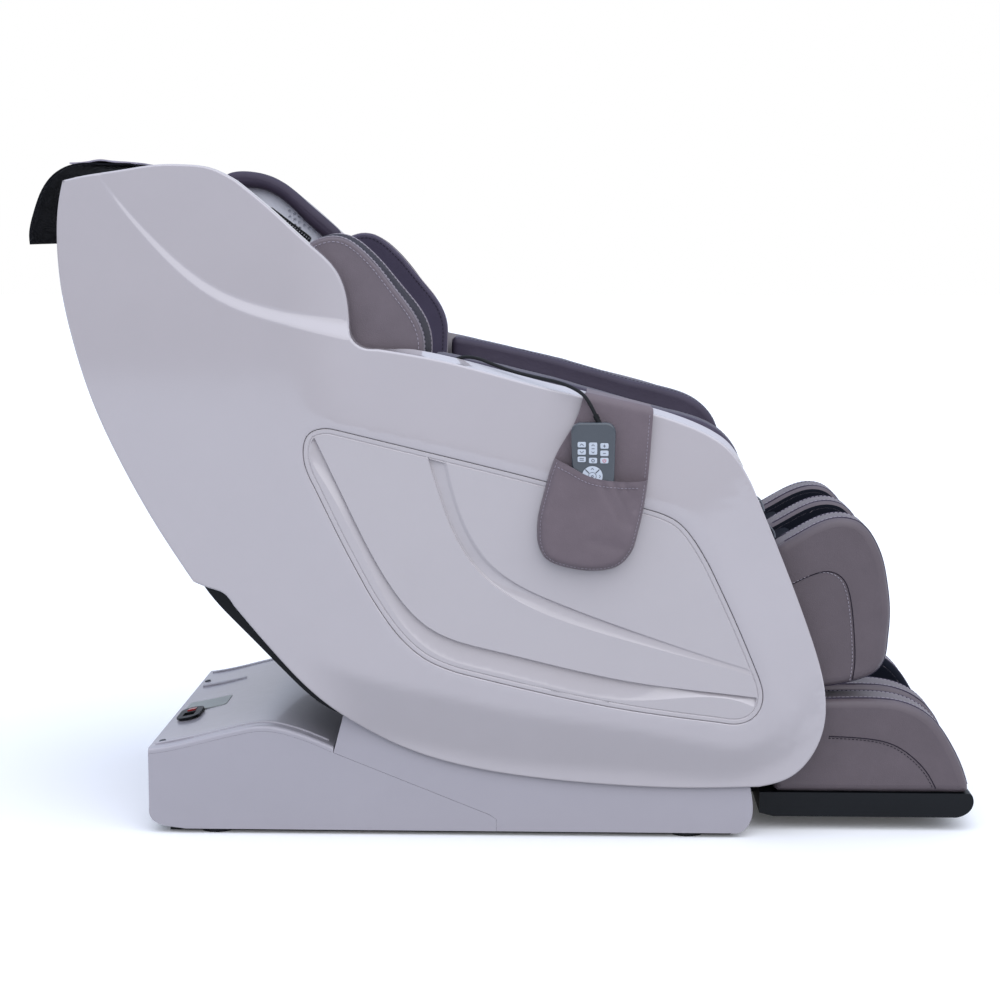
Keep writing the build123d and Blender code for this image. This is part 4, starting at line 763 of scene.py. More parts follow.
ledges = [shifted(swoosh, share * ledge_width(np.linspace(0, swoosh_length, len(swoosh))))
          for share in (-0.15, 0.0, 0.25, 0.5, 0.75, 1.0, 1.3)]
grooves = [loop(panel_outline - outward(panel_outline) * k) for k in (-2.5, -1.0, -0.2, 0.5, 1.2, 2.4)]
# The shell's inner edge is a little higher along the armrest.
arm_line = smooth(arm_top, 6)
d, s, side = nearest(shell_outline, arm_line)
arm_rise = 7.0 * (d < 1) * step01(s / 60) * step01((nearest(arm_line[-1:], arm_line)[1][0] - s) / 90)
data = plate(
    shell_outline, shell_face, lambda q: np.full(len(q), 340.3), rims=(0.3, 0.9, 1.8, 2.8, 3.7, 7.0),
    lines=ledges + grooves, pitch=13, rise=arm_rise, rows=6,
)
sided("side_shell", data, shell_white, "shell_white")

rim_line = even(panel_outline - outward(panel_outline) * 1.0, 4)


def channel_depth(q):
    """How deep the two sweeping channels cut the panel."""
    up, low = nearest(q, low_upper)[0], nearest(q, low_lower)[0]
    u = up / np.maximum(up + low, 0.01)
    depth = inside(q, low_area) * 7.0 * (1 - u) ** 0.85 * step01(up / 1.5)
    up, low = nearest(q, high_upper)[0], nearest(q, high_lower)[0]
    u = up / np.maximum(up + low, 0.01)
    steep = step01((q[:, 1] - 400) / 90)
    crisp = 7.5 * (0.3 + 0.7 * u) * step01(up / 8) * step01(low / 1.5)
    scoop = 6.0 * (1 - u) ** 0.8 * step01(up / 4)
    shallow = 1 - 0.72 * step01((q[:, 0] - 60) / 360)
    return depth + inside(q, high_area) * (steep * crisp + (1 - steep) * scoop) * shallow


def panel_face(q):
    d = nearest(q, loop(rim_line))[0]
    face = crown(q, 1.4) - rounding(d, 1.6) - 1.3 * np.exp(-(((d - 8.0) / 0.8) ** 2))
    return face - channel_depth(q) * step01((d - 9.5) / 2.5)


channel_lines = [shifted(line, k) for line, steps in (
    (low_upper, (-5, -3, -1.8, -0.9, 0, 0.8)), (low_lower, (-1, 0, 1.2, 3, 5)),
    (high_lower, (-0.8, 0, 0.8, 1.6, 3, 5)), (high_upper, (-0.8, 0, 1, 2, 3, 4.2, 6, 8)),
) for k in steps]
data = plate(
    rim_line, panel_face, lambda q: crown(q, 11.0), lines=channel_lines, pitch=9,
    rims=(0.4, 0.9, 1.7, 6.2, 7.2, 7.6, 8.0, 8.4, 8.8, 9.6, 10.8, 12),
)
sided("side_panel", data, panel_white, "panel_white")

# ---------------------------------------------------------------- armrests, wings, shoulder pads
armrest_curves = [
    [(-111, 823), (-20, 804), (97, 776), (214, 743), (291, 723), (330, 712), (369, 691), (394, 660),
     (403, 632)],
    [(403, 632), (406, 590), (392, 550), (365, 530)],
    [(365, 530), (-60, 530)], [(-60, 530), (-111, 575)], [(-111, 575), (-111, 823)],
]
data = pad_data(
    "armrest", soften(closed(armrest_curves, 7), 3), -332, -252, 10, crown=2.5, bulge=(1.5, 4), pitch=8,
    seams=((-262, 0.8, 2.0),), wrinkle=0.8,
)
# The armrest's leather colour carries painted shade as well as its own deep tone.
sided("armrest_pad", data, dark, "leather_dark")
row = stitch_data(part_of(girth("armrest", -266, 0.25), lambda p: p[2] > 600 and p[0] > -95), radius=0.45)
sided("armrest_stitching", row, dark_thread)

# Liners stay as the CAD makes them; a black perforated grille sits in each.
GRILLE_MIDDLE = np.array((-436.8, 1029.3))
GRILLE_RUN = np.array(((5.6 * 0.798, -5.6 * 0.603), (5.0 * 0.603, 5.0 * 0.798)))  # steps between holes
LINER_FACE = 327.7
grille = soften(polygon([(-470, 1073), (-388, 1011), (-405, 987), (-484, 1046)], 2.5), 6)
centres = np.array([GRILLE_MIDDLE + (a, b) @ GRILLE_RUN for a in range(-9, 10) for b in range(-3, 4)])
centres = centres[(nearest(centres, loop(grille))[0] > 4) & inside(centres, grille)]
hole = np.array([(math.cos(a), math.sin(a)) for a in np.radians(range(0, 360, 45))]) * 1.5
hole_lines = [loop(c + hole) for c in centres]


def off_holes(middle):
    return np.min(np.linalg.norm(middle[:, None] - centres[None], axis=2), axis=1) > 1.35


flat, tri = triangles(grille, (1.0,), hole_lines, 40, off_holes)
proud = 2.0 - 1.2 * np.exp(-nearest(flat, loop(grille))[0] / 1.2)
verts = np.vstack([at_distance(flat, LINER_FACE - proud), at_distance(grille, LINER_FACE + 1)])
faces = [list(t)[::-1] for t in tri] + ring_faces(0, len(flat), len(grille))
sided("speaker_grille", (verts, faces), black_plastic, "black_plastic")

trim_over = [(-556, 1132), (-539, 1137), (-511, 1138.5), (-482, 1134), (-459, 1126), (-433, 1111),
             (-411, 1093), (-389, 1073), (-364, 1052), (-338, 1029), (-327, 1019)]
trim_under = [(-343, 996), (-377, 1025), (-403, 1049), (-428, 1074), (-449, 1091), (-469, 1102),
              (-493, 1108), (-508, 1109), (-530, 1110), (-556, 1108)]
trim_ends = [trim_over[-1], trim_under[0]], [trim_under[-1], trim_over[0]]
trim_outline = soften(closed([trim_over, trim_ends[0], trim_under, trim_ends[1]], 4), 8)
verts, faces = pad_data("trim", trim_outline, -327.2, -301.6, 11, crown=1.5, pitch=6, wrinkle=0.3)
TRIM_DROP = (0, 0, 10)  # the photo shows nothing of the right trim
for side, data in (("right", (verts - TRIM_DROP, faces)), ("left", turned(verts, faces))):
    piece = build(f"wing_trim_{side}_skin", *data, dark, slot="leather_dark")
    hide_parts(f"wing_trim_{side}")

shoulder_front = [
    (-321, 1003), (-298, 1016), (-270, 1020), (-246, 1011), (-226, 995), (-203, 972), (-184, 949),
    (-160, 920), (-142, 898), (-127, 872), (-120, 848), (-120, 818), (-121, 780),
]
shoulder_back = [
    (-121, 780), (-133, 730), (-190, 705), (-290, 735), (-352, 820), (-366, 900), (-350, 975),
    (-321, 1003),
]
shoulder_outline = soften(closed([shoulder_front, shoulder_back], 6), 6)


def drawn_in(outline, y):
    """The outer face is smaller than the inner one along its front."""
    front = step01((outline[:, 0] + 345) / 60) * step01((outline[:, 1] - 700) / 60)
    low = 1 - 0.5 * step01((outline[:, 1] - 880) / 110)
    return 8 * front * low * np.clip((-240 - y) / 78, 0, 1)


verts, faces = pad_data(
    "shoulder", shoulder_outline, -327.2, -232.6, 4.5, crown=2, bulge=(1.5, -5), pitch=8,
    seams=((-318, 1.4, 2.0), (-240, 1.4, 2.0)), wrinkle=0.8, rough=drawn_in,
)
sided("shoulder_pad", (verts, faces), brown, "leather_brown")
# Painted shade on the gusset round the pad, painted light on its inner face.
sided("shoulder_gusset", lined_wall(verts, faces, lambda p: -317.5 < p[1] < -239), gusset_painted_shade)
sided("shoulder_inner", lined_wall(verts, faces, lambda p: p[1] >= -239), inner_face_painted_light)
parts = [tube_data(girth("shoulder", y, 0.9), 1.0, around=True) for y in (-320.6, -236.6)]
sided("shoulder_piping", joined(parts), piping)
sided("shoulder_seam", tube_data(girth("shoulder", -317.6, 0.4), 1.3, around=True), rubber)
rows = [stitch_data(girth("shoulder", y, 0.6), around=True) for y in (-312.5, -246)]
outline, n, inset, near, far, edge = pads["shoulder"]
for y, distance in ((near, 327.9), (far, 232.0)):
    ring = at_distance(even(outline - n * (inset(y, edge) + 3)[:, None], 6), distance)
    rows.append(stitch_data(part_of(ring, lambda p: p[0] > -330 and p[2] > 760)))
pair = sided("shoulder_stitching", joined(rows), thread)
# The left pad's stitches take the darker thread: painted shade, as that pad is seen from its shaded inner
# side.
pair[1].data.materials[0] = dark_thread

# ---------------------------------------------------------------- seat, back and head cushions
def slab(point, along, across, passes):
    """Rounded section of a cushion, by its places along and above the seat's or back's face."""
    (a0, a1), (b0, b1) = along, across
    return soften(polygon([point(a0, b0), point(a1, b0), point(a1, b1), point(a0, b1)], 8), passes)


def grooves(point, marks, depth, wide, above=0):
    return [(*point(a, above), depth, wide) for a in marks]


def cushion(names, node, outline, near, far, edge, fill=0.8, **more):
    """Brown cushion from Y = near to far, and its mirror image if it has two names."""
    data = pad_data(names[0], outline, near, far, edge, **more)
    for name, mesh in zip(names, (data, turned(*data))):
        piece = build(name, *mesh, brown, slot="leather_brown")
        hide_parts(node)


def cross_stitches(point, marks, half, count):
    """Rows of stitches on both sides of each groove of a cushion."""
    rows = []
    for a in marks:
        for aside in (-9, 9):
            x, z = point(a + aside, 1.2)
            rows.append(stitch_data([(x, y, z) for y in np.linspace(-half, half, count)]))
    return joined(rows)


SEAT_MARKS = (120, 235, 350, 465)
cushion(["seat_centre_skin"], "seat_pad", slab(seat_point, (5, 604), (-88, -2), 9), -128, 128, 14,
        crown=3, bulge=2, ribs=grooves(seat_point, SEAT_MARKS, 6, 9), wrinkle=1.2)
cushion(["seat_bolster_right", "seat_bolster_left"], "seat_pad", slab(seat_point, (5, 604), (-88, 2), 9),
        -246, -131, 20, crown=4, bulge=2, ribs=grooves(seat_point, SEAT_MARKS[-1:], 4, 8), wrinkle=1.4)
build("seat_stitching", *cross_stitches(seat_point, SEAT_MARKS, 112, 30), thread)

BACK_MARKS = (110, 215, 320, 425, 530)
cushion(["back_centre_skin"], "back_pad", slab(back_point, (8, 866), (-54, -2), 7), -148, 148, 12,
        crown=3, bulge=2, ribs=grooves(back_point, BACK_MARKS, 6, 9), wrinkle=1.2)
cushion(["back_bolster_right", "back_bolster_left"], "back_pad", slab(back_point, (8, 866), (-54, 3), 9),
        -318, -151, 20, crown=5, bulge=2, ribs=grooves(back_point, BACK_MARKS[2::2], 5, 9), wrinkle=1.6)
build("back_stitching", *cross_stitches(back_point, BACK_MARKS, 132, 34), thread)

cushion(["head_pillow_skin"], "head_pillow", slab(back_point, (592, 798), (1, 60), 14), -148, 148, 24,
        fill=0.75, crown=5, bulge=3, pitch=8, ribs=grooves(back_point, (695,), 7, 12, 60), wrinkle=1.2,
        seams=((-118, 1.5, 3), (118, 1.5, 3)))
rows = [stitch_data(part_of(girth("head_pillow_skin", y, 0.3), lambda p: p[0] > -560)) for y in (-112, 112)]
build("pillow_stitching", *joined(rows), thread)

flap_line = smooth(
    [back_point(806, 2.8), back_point(848, 2.8), (-632, 1137), (-668, 1139), (-706, 1140), (-744, 1136),
     (-772, 1121), (-792, 1096), (-808, 1055), (-816, 1016), (-815, 1002)], 8,
)


def sheet_faces(rows, columns):
    """Faces of a sheet whose two sides are grids of points, and of its border."""
    layer = rows * columns
    faces = []
    for a in [i * columns + j for i in range(rows - 1) for j in range(columns - 1)]:
        quad = [a, a + 1, a + columns + 1, a + columns]
        faces += [quad, [v + layer for v in quad[::-1]]]
    border = list(range(columns)) + [i * columns + columns - 1 for i in range(1, rows)]
    border += [(rows - 1) * columns + j for j in range(columns - 2, -1, -1)]
    border += [i * columns for i in range(rows - 2, 0, -1)]
    return faces + [[b, a, a + layer, b + layer] for a, b in zip(border, border[1:] + border[:1])]


def cloth_data(line, half, thickness, ripple):
    """Cloth of a given thickness that follows a line of the side view and runs across the chair."""
    ys = np.linspace(-half, half, int(2 * half / 12.0) + 1)
    share = np.linspace(0, 1, len(line))
    verts = []
    for sign in (1, -1):
        for p, m, t in zip(line, left_of(line), share):
            for y in ys:
                off = ripple * t * noise.noise(Vector((y * 0.012, t * 2.2, 0.3))) + sign * thickness / 2
                verts.append((p[0] + m[0] * off, y, p[1] + m[1] * off))
    return verts, sheet_faces(len(line), len(ys))


flap = build("head_flap", *cloth_data(flap_line, 189, 3.4, 3.0), black_cloth, slot="fabric_black")
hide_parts("head_pillow")
fold_line = smooth(
    [(-746, 1141), (-728, 1141.5), (-712, 1143.5), (-700, 1146), (-688, 1146.5), (-672, 1144), (-650, 1143),
     (-628, 1141)], 5,
)
fold = build("head_flap_fold", *cloth_data(fold_line, 186, 2.6, 1.5), lilac_cloth, slot="fabric_black")

# ---------------------------------------------------------------- calf and foot units
calf_curves = [
    [(463.3, 488), (511, 516)],
    [(511, 516), (545, 534), (579, 542), (613, 532), (634, 506), (648, 475), (657, 434), (663, 382),
     (660, 331)],
    [(660, 331), (656, 299), (644, 279), (617, 265), (583, 256), (520, 248)],
    [(520, 248), (463.3, 245)], [(463.3, 245), (463.3, 488)],
]
calf_outline = soften(closed(calf_curves, 6), 4)
calf_seam = smooth([
    (484, 423), (527, 444), (556, 449), (577, 438), (588, 416), (594, 386), (599, 334), (600, 286),
    (597, 262),
], 4)
FOOT_BOTTOM = 66.6


def foot_section(heel, top):
    """Section of a foot ridge, from its height at the heel and the line of its top."""
    corners = [(470, FOOT_BOTTOM), (470, heel)], [(806, FOOT_BOTTOM), (470, FOOT_BOTTOM)]
    return soften(closed([corners[0], [(470, heel), *top, (806, FOOT_BOTTOM)], corners[1]], 6), 4)


foot_outline = foot_section(226, [(560, 228), (640, 229), (696, 221), (739, 196), (771, 153), (794, 106)])
middle_outline = foot_section(202, [(560, 204), (645, 205), (705, 200), (750, 181), (782, 147), (799, 107)])
foot_seam = smooth([(560, 162), (618, 159), (670, 148), (705, 125), (731, 96), (744, 72)], 5)
OUTER_FACE = 280
bands = {"right": (-OUTER_FACE, -190), "middle": (-46, 46), "left": (190, OUTER_FACE)}


def leg_pads(word, outlines, edge, crown, shaded_bands, wall, seen, stitched, seam, face, beside):
    """Three ridges of the calf or foot unit, with their piping, seams, stitches, and black painted shade on
    the well walls.

    Walls of the given bands are black from their face to wall inside it, as painted shade of the wells; the
    points of a ridge that pass seen and stitched have piping and stitches. The seam lies on the outer
    faces, beside its stitches."""
    body = f"{word}_unit"
    rows, parts, seams, walls = [], [], [], []
    for (band, (near, far)), outline in zip(bands.items(), outlines):
        name = f"{word}_ridge_{band}"
        data = pad_data(name, outline, near + 0.3, far - 0.3, edge, pitch=7, wrinkle=0.8,
                        seams=((near + edge, 1.4, 2.4), (far - edge, 1.4, 2.4)), crown=crown)
        piece = build(name, *data, leg_brown, body, "leather_brown")
        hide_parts(f"{word}_pads")
        for y in (near, far):
            if band in shaded_bands and abs(y) < OUTER_FACE:
                walls.append(lined_wall(*data, lambda p: abs(p[1] - y) < wall))
        for y in (near + edge, far - edge):
            parts.append(tube_data(part_of(girth(name, y, 1.0), seen), 1.5))
        for y in (near + edge + 5.5, far - edge - 5.5):
            rows.append(stitch_data(part_of(girth(name, y, 0.3), stitched)))
    build(f"{word}_piping", *joined(parts), dark, body)
    # Black layer on the wells' walls: painted shade.
    build(f"{word}_well_wall_painted_shade", *joined(walls), lining_and_shade_cloth, body, "fabric_black")
    for side in (-1, 1):
        line = at_distance(seam, -side * face)
        (seams if word == "foot" else rows).append(stitch_data(line, 4.5, 2.2, 0.65))
        seams.append(tube_data(line + beside, 0.9, 6))
    build(f"{word}_stitching", *joined(rows), thread, body)
    build(f"{word}_seam_lines", *joined(seams), dark_thread, body)


leg_pads(
    "calf", [calf_outline] * 3, edge=13, crown=2, shaded_bands=bands, wall=4, seen=lambda p: p[0] > 480,
    stitched=lambda p: p[0] > 485, seam=calf_seam, face=280.2, beside=(4.5, 0, 1.5),
)

calf_bed = [(463.3, 262), (516, 262), (540, 330), (536, 440), (510, 500), (463.3, 478)]
foot_bed = [(470, 66.6), (790, 66.6), (784, 74), (510, 74), (510, 190), (470, 200)]
for side, near, far in (("right", -189.6, -46.4), ("left", 46.4, 189.6)):
    for word, outline, edge, more in (
        ("calf", soften(polygon(calf_bed, 7), 3), 6,
         {"crown": -2, "wrinkle": 2.2, "ribs": [(538, 385, 3, 8)]}),
        ("foot", soften(polygon(foot_bed, 4), 2), 3, {"wrinkle": 0.8}),
    ):
        data = pad_data(f"{word}_bed_{side}", outline, near, far, edge, pitch=8, **more)
        bed = build(f"{word}_lining_{side}", *data, lining_and_shade_cloth, f"{word}_unit", "fabric_black")
        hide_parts(f"{word}_lining")

leg_pads(
    "foot", [foot_outline, middle_outline, foot_outline], edge=14, crown=1.5, shaded_bands=("right", "left"),
    wall=13, seen=lambda p: p[2] > 76 and p[0] > 474, stitched=lambda p: p[2] > 80 and p[0] > 476,
    seam=foot_seam, face=280.1, beside=(3.5, 0, 3.0),
)

# ---------------------------------------------------------------- base details
def screw_head(middle, normal):
    """A low disc with a bevelled rim and a shallow dish."""
    radius, height, sides = 6.0, 1.8, 20
    n = Vector(normal).normalized()
    u = n.orthogonal().normalized()
    v = n.cross(u)
    c = Vector(middle)
    rings = [(radius, 0.0), (radius, height * 0.5), (radius * 0.8, height), (radius * 0.35, height * 1.15)]
    verts, faces = [], []
    for r, h in rings:
        for k in range(sides):
            a = 2 * math.pi * k / sides
            verts.append(c + u * r * math.cos(a) + v * r * math.sin(a) + n * h)
    last = (len(rings) - 1) * sides
    for i in range(0, last, sides):
        faces += ring_faces(i, i + sides, sides)
    verts.append(c + n * height * 0.55)
    faces += [[last + k, last + (k + 1) % sides, len(verts) - 1] for k in range(sides)]
    faces.append(list(range(sides))[::-1])
    return [tuple(p) for p in verts], faces


wedge = smooth([
    (-601, 148), (-509, 167), (-449, 182), (-404, 189), (-356, 181), (-307, 163), (-283.3, 152.6),
], 4)


def wedge_height(x):
    """Height of the rear top panel."""
    return np.interp(x, wedge[:, 0], wedge[:, 1])


screws = []
for x, y in ((-584, -290), (-590, 222)):
    rise = (wedge_height(x + 3) - wedge_height(x - 3)) / 6
    screws.append(screw_head((x, y, wedge_height(x) - 0.3), (-rise, 0, 1)))
build("housing_screws", *joined(screws), frame_steel, "floor_base", "frame_steel", angle=30)


def bead(xs, y, radius):
    """Raised bead along the rear top panel."""
    return tube_data(at_distance(np.column_stack([xs, wedge_height(xs)]), -y), radius, 10)


beads = [bead(np.arange(-594, -289, 6.0), y, 2.4) for y in (-306, 306)]
build("housing_beads", *joined(beads), base_white, "floor_base", "base_white")
# A thin black strip round the foot of the base: painted shade of the shadow gap between base and floor.
shadow_strip = pad_data("shadow_strip", polygon([(-568, 2), (398, 2), (398, 9), (-568, 9)], 4), -321, -313, 1.5, pitch=8)
sided("base_shadow_strip", shadow_strip, rubber, "rubber_black", "floor_base")
build("housing_step", *bead(np.arange(-590, -500, 5.0), 168, 3.0), base_white, "floor_base", "base_white")


def draped_plate(x0, x1, y0, y1, thick, corner):
    """Thin plate with rounded corners that lies on the rear top panel."""
    flat = soften(polygon([(x0, y0), (x1, y0), (x1, y1), (x0, y1)], 2.0), corner)
    points, tri = triangles(flat, (0.8,), (), 9.0)
    d = nearest(points, loop(flat))[0]
    top = thick - rounding(d, min(0.8, thick * 0.8))
    upper = np.column_stack([points, wedge_height(points[:, 0]) + top])
    lower = np.column_stack([flat, wedge_height(flat[:, 0]) - 0.4])
    return np.vstack([upper, lower]), [list(t) for t in tri] + ring_faces(len(points), 0, len(flat))


build("blank_plate", *draped_plate(-588, -508, -66, 14, 1.1, 14), plate_grey, "floor_base", angle=30)

# ---------------------------------------------------------------- pouch, handset and cord
pouch_curves = [
    [(141, 764), (134, 735), (121, 705), (103, 675), (87, 640), (73, 590), (65, 555), (64, 518)],
    [(64, 518), (76, 490), (110, 474), (165, 468), (204, 480), (224, 506)],
    [(224, 506), (240, 575), (250, 670), (255, 739)],
    [(255, 739), (141, 764)],
]
pouch_outline = soften(closed(pouch_curves, 4), 3)
mouth = smooth([(56, 669), (92, 656), (123, 641), (147, 628), (180, 620), (213, 618), (266, 622)], 4)
# The pocket's outline is the pouch's below the mouth, closed by the mouth's line between its ends.
below = pouch_outline[nearest(pouch_outline, mouth)[2] < 0]
start = int(np.argmax(np.linalg.norm(below - np.roll(below, 1, axis=0), axis=1)))
below = np.roll(below, -start, axis=0)
ends = sorted(nearest(below[[0, -1]], mouth)[1])
s_mouth = nearest(mouth, mouth)[1]
lip = mouth[(s_mouth > ends[0] + 2) & (s_mouth < ends[1] - 2)]
if np.linalg.norm(lip[0] - below[-1]) > np.linalg.norm(lip[-1] - below[-1]):
    lip = lip[::-1]
pocket_outline = closed([np.vstack([below, lip, below[:1]])], 4)
pouch_border = loop(pouch_outline)
pouch_top = np.array([(265, 737), (131, 766)], float)
SEAM_IN = 5.5  # how far inside the pouch's edge its seam runs
POCKET_EDGE, POCKET_SWELL = 391.2, 25.6  # distance of the pocket's edge, and its face's further reach


def pocket_face(q):
    """Distance to the right of the pocket's swollen face."""
    d = nearest(q, pouch_border)[0]
    t = np.clip(d / 15, 0, 1)
    face = POCKET_EDGE + POCKET_SWELL * np.sqrt(np.maximum(1 - (1 - t) ** 2, 0))
    seam = np.exp(-(((d - SEAM_IN) / 1.4) ** 2)) * 0.7
    hem = nearest(q, mouth)[0]
    fold = 0.8 * step01((12 - hem) / 3) * step01((d - 7) / 5)
    # Loose creases where the leather sags towards the front edge.
    crease = np.zeros(len(q))
    for (x0, z0), (x1, z1), depth, wide in (
        ((188, 618), (214, 560), 3.4, 6), ((206, 616), (224, 572), 2.8, 5),
        ((168, 618), (196, 566), 2.2, 6), ((196, 556), (234, 540), 1.8, 6),
        ((150, 520), (214, 505), 1.6, 8), ((222, 606), (236, 560), 2.0, 4),
    ):
        c = nearest(q, np.array([(x0, z0), (x1, z1)], float))[0]
        crease += depth * np.exp(-((c / wide) ** 2))
    return face - seam + fold - crease * step01((d - 4) / 14)


verts, faces, _ = plate(
    pocket_outline, pocket_face, lambda q: np.maximum(pocket_face(q) - 2.6, 390.9),
    rims=(0.5, 1.5, 3, 4.5, 5.5, 6.5, 8.5, 11, 15), pitch=7,
)
pocket = build("pouch_pocket", verts, faces, pouch_skin, slot="pouch_leather", angle=50)


def back_layer(q):
    """The same for the layer behind the pocket, which lies on the shell."""
    d = nearest(q, pouch_border)[0]
    seam = 0.5 * np.exp(-(((d - SEAM_IN) / 1.2) ** 2))
    face = np.maximum(crown(q), 389.0) + 1.9 - rounding(d, 1.2) - seam
    # It bends in over the shell's edge, where the strap goes on.
    over = np.clip(1 - nearest(q, pouch_top)[0] / 17, 0, 1)
    return face - 11 * (1 - np.sqrt(1 - over**2))


verts, faces, _ = plate(
    pouch_outline, back_layer, lambda q: np.minimum(crown(q) + 0.2, back_layer(q) - 1.2),
    rims=(0.4, 1.0, 3, 5.5, 8, 11, 14, 17), pitch=12,
)
backing = build("pouch_back", verts, faces, pouch_skin, slot="pouch_leather", angle=50)
# The strap goes over the armrest's edge and is tucked down inside it.
strap_path = smooth([
    (387.6, 735), (387.6, 748), (386, 754), (379, 759), (366, 762), (352, 764.5), (343, 765), (338.6, 762),
    (337.2, 752), (337, 700),
], 4)
STRAP_REAR, STRAP_FRONT = 145, 251
STRAP_FALL = 0.2495  # how steeply the shell's edge falls towards the front
STRAP_BEND = 729.97  # height from which the strap begins to follow that fall
verts = []
for off in (1.3, -1.3):
    for (y, z), (left_y, left_z) in zip(strap_path, left_of(strap_path)):
        for x in np.linspace(STRAP_REAR, STRAP_FRONT, 19):
            fall = -(x - STRAP_REAR) * STRAP_FALL * min(max(0.0, (z - STRAP_BEND) / 30), 1)
            dish = 0.5 * math.sin(x * 0.11) * (1 if off > 0 else 0.6)
            verts.append((x, -y - left_y * (off + dish * 0.3), z + fall + left_z * off))
strap = build("pouch_strap", verts, sheet_faces(len(strap_path), 19), pouch_skin, slot="pouch_leather")
for piece in (pocket, backing, strap):
    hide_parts("remote_pouch")


def stitched_on(line, face):
    return stitch_data(at_distance(line, face(line) + 0.3), 4, 2.2, 0.5)


def on_strap(p):
    """Whether a point of the pouch's seam is above the mouth and clear of the strap's bend."""
    return nearest(p[None], mouth)[2][0] > 0 and nearest(p[None], pouch_top)[0][0] > 12


seam_line = even(pouch_outline - outward(pouch_outline) * SEAM_IN, 4)
low_part = part_of(seam_line, lambda p: nearest(p[None], mouth)[2][0] < 0)
hem_line = shifted(mouth, -10.5)
hem_line = hem_line[inside(hem_line, pouch_outline) & (nearest(hem_line, pouch_border)[0] > 7)]
rows = [stitched_on(low_part, pocket_face), stitched_on(part_of(seam_line, on_strap), back_layer),
        stitched_on(hem_line, pocket_face)]
build("pouch_stitching", *joined(rows), thread)


def face_of(name):
    """Middle of a key in the side view, and the Y of its outer face."""
    node = frame["nodes"][name]
    points = np.array([node.matrix_world @ v.co for v in node.data.vertices]) * 1000
    low, high = points.min(0), points.max(0)
    return (low[0] + high[0]) / 2, (low[2] + high[2]) / 2, low[1]


def mark(name, strokes, finish=key_mark, width=1.25, word="mark"):
    """Plain raised strokes on a key."""
    x, z, y = face_of(name)
    parts = [tube_data([(x + a, y + 0.2, z + b) for a, b in stroke], width / 2, 6) for stroke in strokes]
    build(f"{name}_{word}", *joined(parts), finish, body=name)


def arc(radius, start, end, count=14):
    turn = np.radians(np.linspace(start, end, count))
    return [(radius * math.cos(a), radius * math.sin(a)) for a in turn]


def arrow(x, z, dx, dz, size):
    """Two strokes that meet in a point, which looks towards (dx, dz)."""
    back, aside = np.array((dx, dz)) * size, np.array((dz, -dx)) * size
    return [(x, z) - back - aside, (x, z), (x, z) - back + aside]


mark("key_left_1", [arrow(0, 1.6, 0, 1, 3.0)])
mark("key_left_2", [arrow(0, -1.6, 0, -1, 3.0)])
mark("key_left_3", [[(-3.5, 1.4), (3.5, 1.4)], [(-3.5, -1.4), (3.5, -1.4)]])
mark("key_middle_tall", [arrow(0, 7, 0, 1, 2.4), arrow(0, -7, 0, -1, 2.4), [(-2.4, 0), (2.4, 0)]])
mark("key_middle_low", [arc(2.3, 0, 360, 18)])
mark("key_right_1", [[(-2.4, 0), (2.4, 0)], [(0, -2.4), (0, 2.4)]])
mark("key_right_2", [[(-2.4, 0), (2.4, 0)]])
mark("key_right_3", [arc(2.6, 130, 410), [(0, 0.4), (0, 3.2)]], red_mark)
four_ways = ((0, 1), (1, 0), (0, -1), (-1, 0))
corners = [(a, b) for a in (-0.707, 0.707) for b in (-0.707, 0.707)]
mark("direction_key", [arrow(13.5 * dx, 13.5 * dz, dx, dz, 2.2) for dx, dz in four_ways])
splits = [[(7.6 * a, 7.6 * b), (16.2 * a, 16.2 * b)] for a, b in corners]
mark("direction_key", splits, handset_grey, 2.0, "splits")
mark("centre_key", [arc(1.6, 0, 360, 14)])

# Two thin hooks hold the calf's sleeve at the shell's front edge.
upper_hook = smooth([(424, -343.5, 588), (432, -344, 583), (438, -344, 573), (441, -344, 562)], 3)
lower_hook = smooth([(443, -343.5, 541), (452, -344, 535), (459, -344, 525), (460, -344, 518)], 3)
hooks = [tube_data(upper_hook, 1.9), tube_data(lower_hook, 1.3)]
sided("sleeve_hooks", joined(hooks), actuator_grey)

cord_route = [
    (-0.110, -0.3365, 0.776), (-0.093, -0.3365, 0.798), (-0.070, -0.3365, 0.817), (-0.040, -0.343, 0.818),
    (-0.008, -0.350, 0.805), (0.028, -0.358, 0.793), (0.066, -0.367, 0.785), (0.102, -0.379, 0.778),
    (0.130, -0.393, 0.767), (0.147, -0.4023, 0.753), (0.159, -0.4023, 0.727),
]
curve = bpy.data.curves.new("handset_cord", "CURVE")
curve.dimensions = "3D"
line = curve.splines.new("NURBS")
line.points.add(len(cord_route) - 1)
for point, place in zip(line.points, cord_route):
    point.co = (*place, 1)
line.order_u = 3
line.use_endpoint_u = True
curve.resolution_u = 16
curve.bevel_depth = 0.003
curve.bevel_resolution = 4
curve.use_fill_caps = True
curve.materials.append(rubber)
cord = bpy.data.objects.new("handset_cord_line", curve)
bpy.context.scene.collection.objects.link(cord)
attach(cord, "seat_capsule")
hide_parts("handset_cord")

# ---------------------------------------------------------------- floor, light and camera
floor_mesh = bpy.data.meshes.new("studio_floor")
floor_mesh.from_pydata([(-30, -30, 0), (30, -30, 0), (30, 30, 0), (-30, 30, 0)], [], [(0, 1, 2, 3)])
floor = bpy.data.objects.new("studio_floor", floor_mesh)
bpy.context.scene.collection.objects.link(floor)


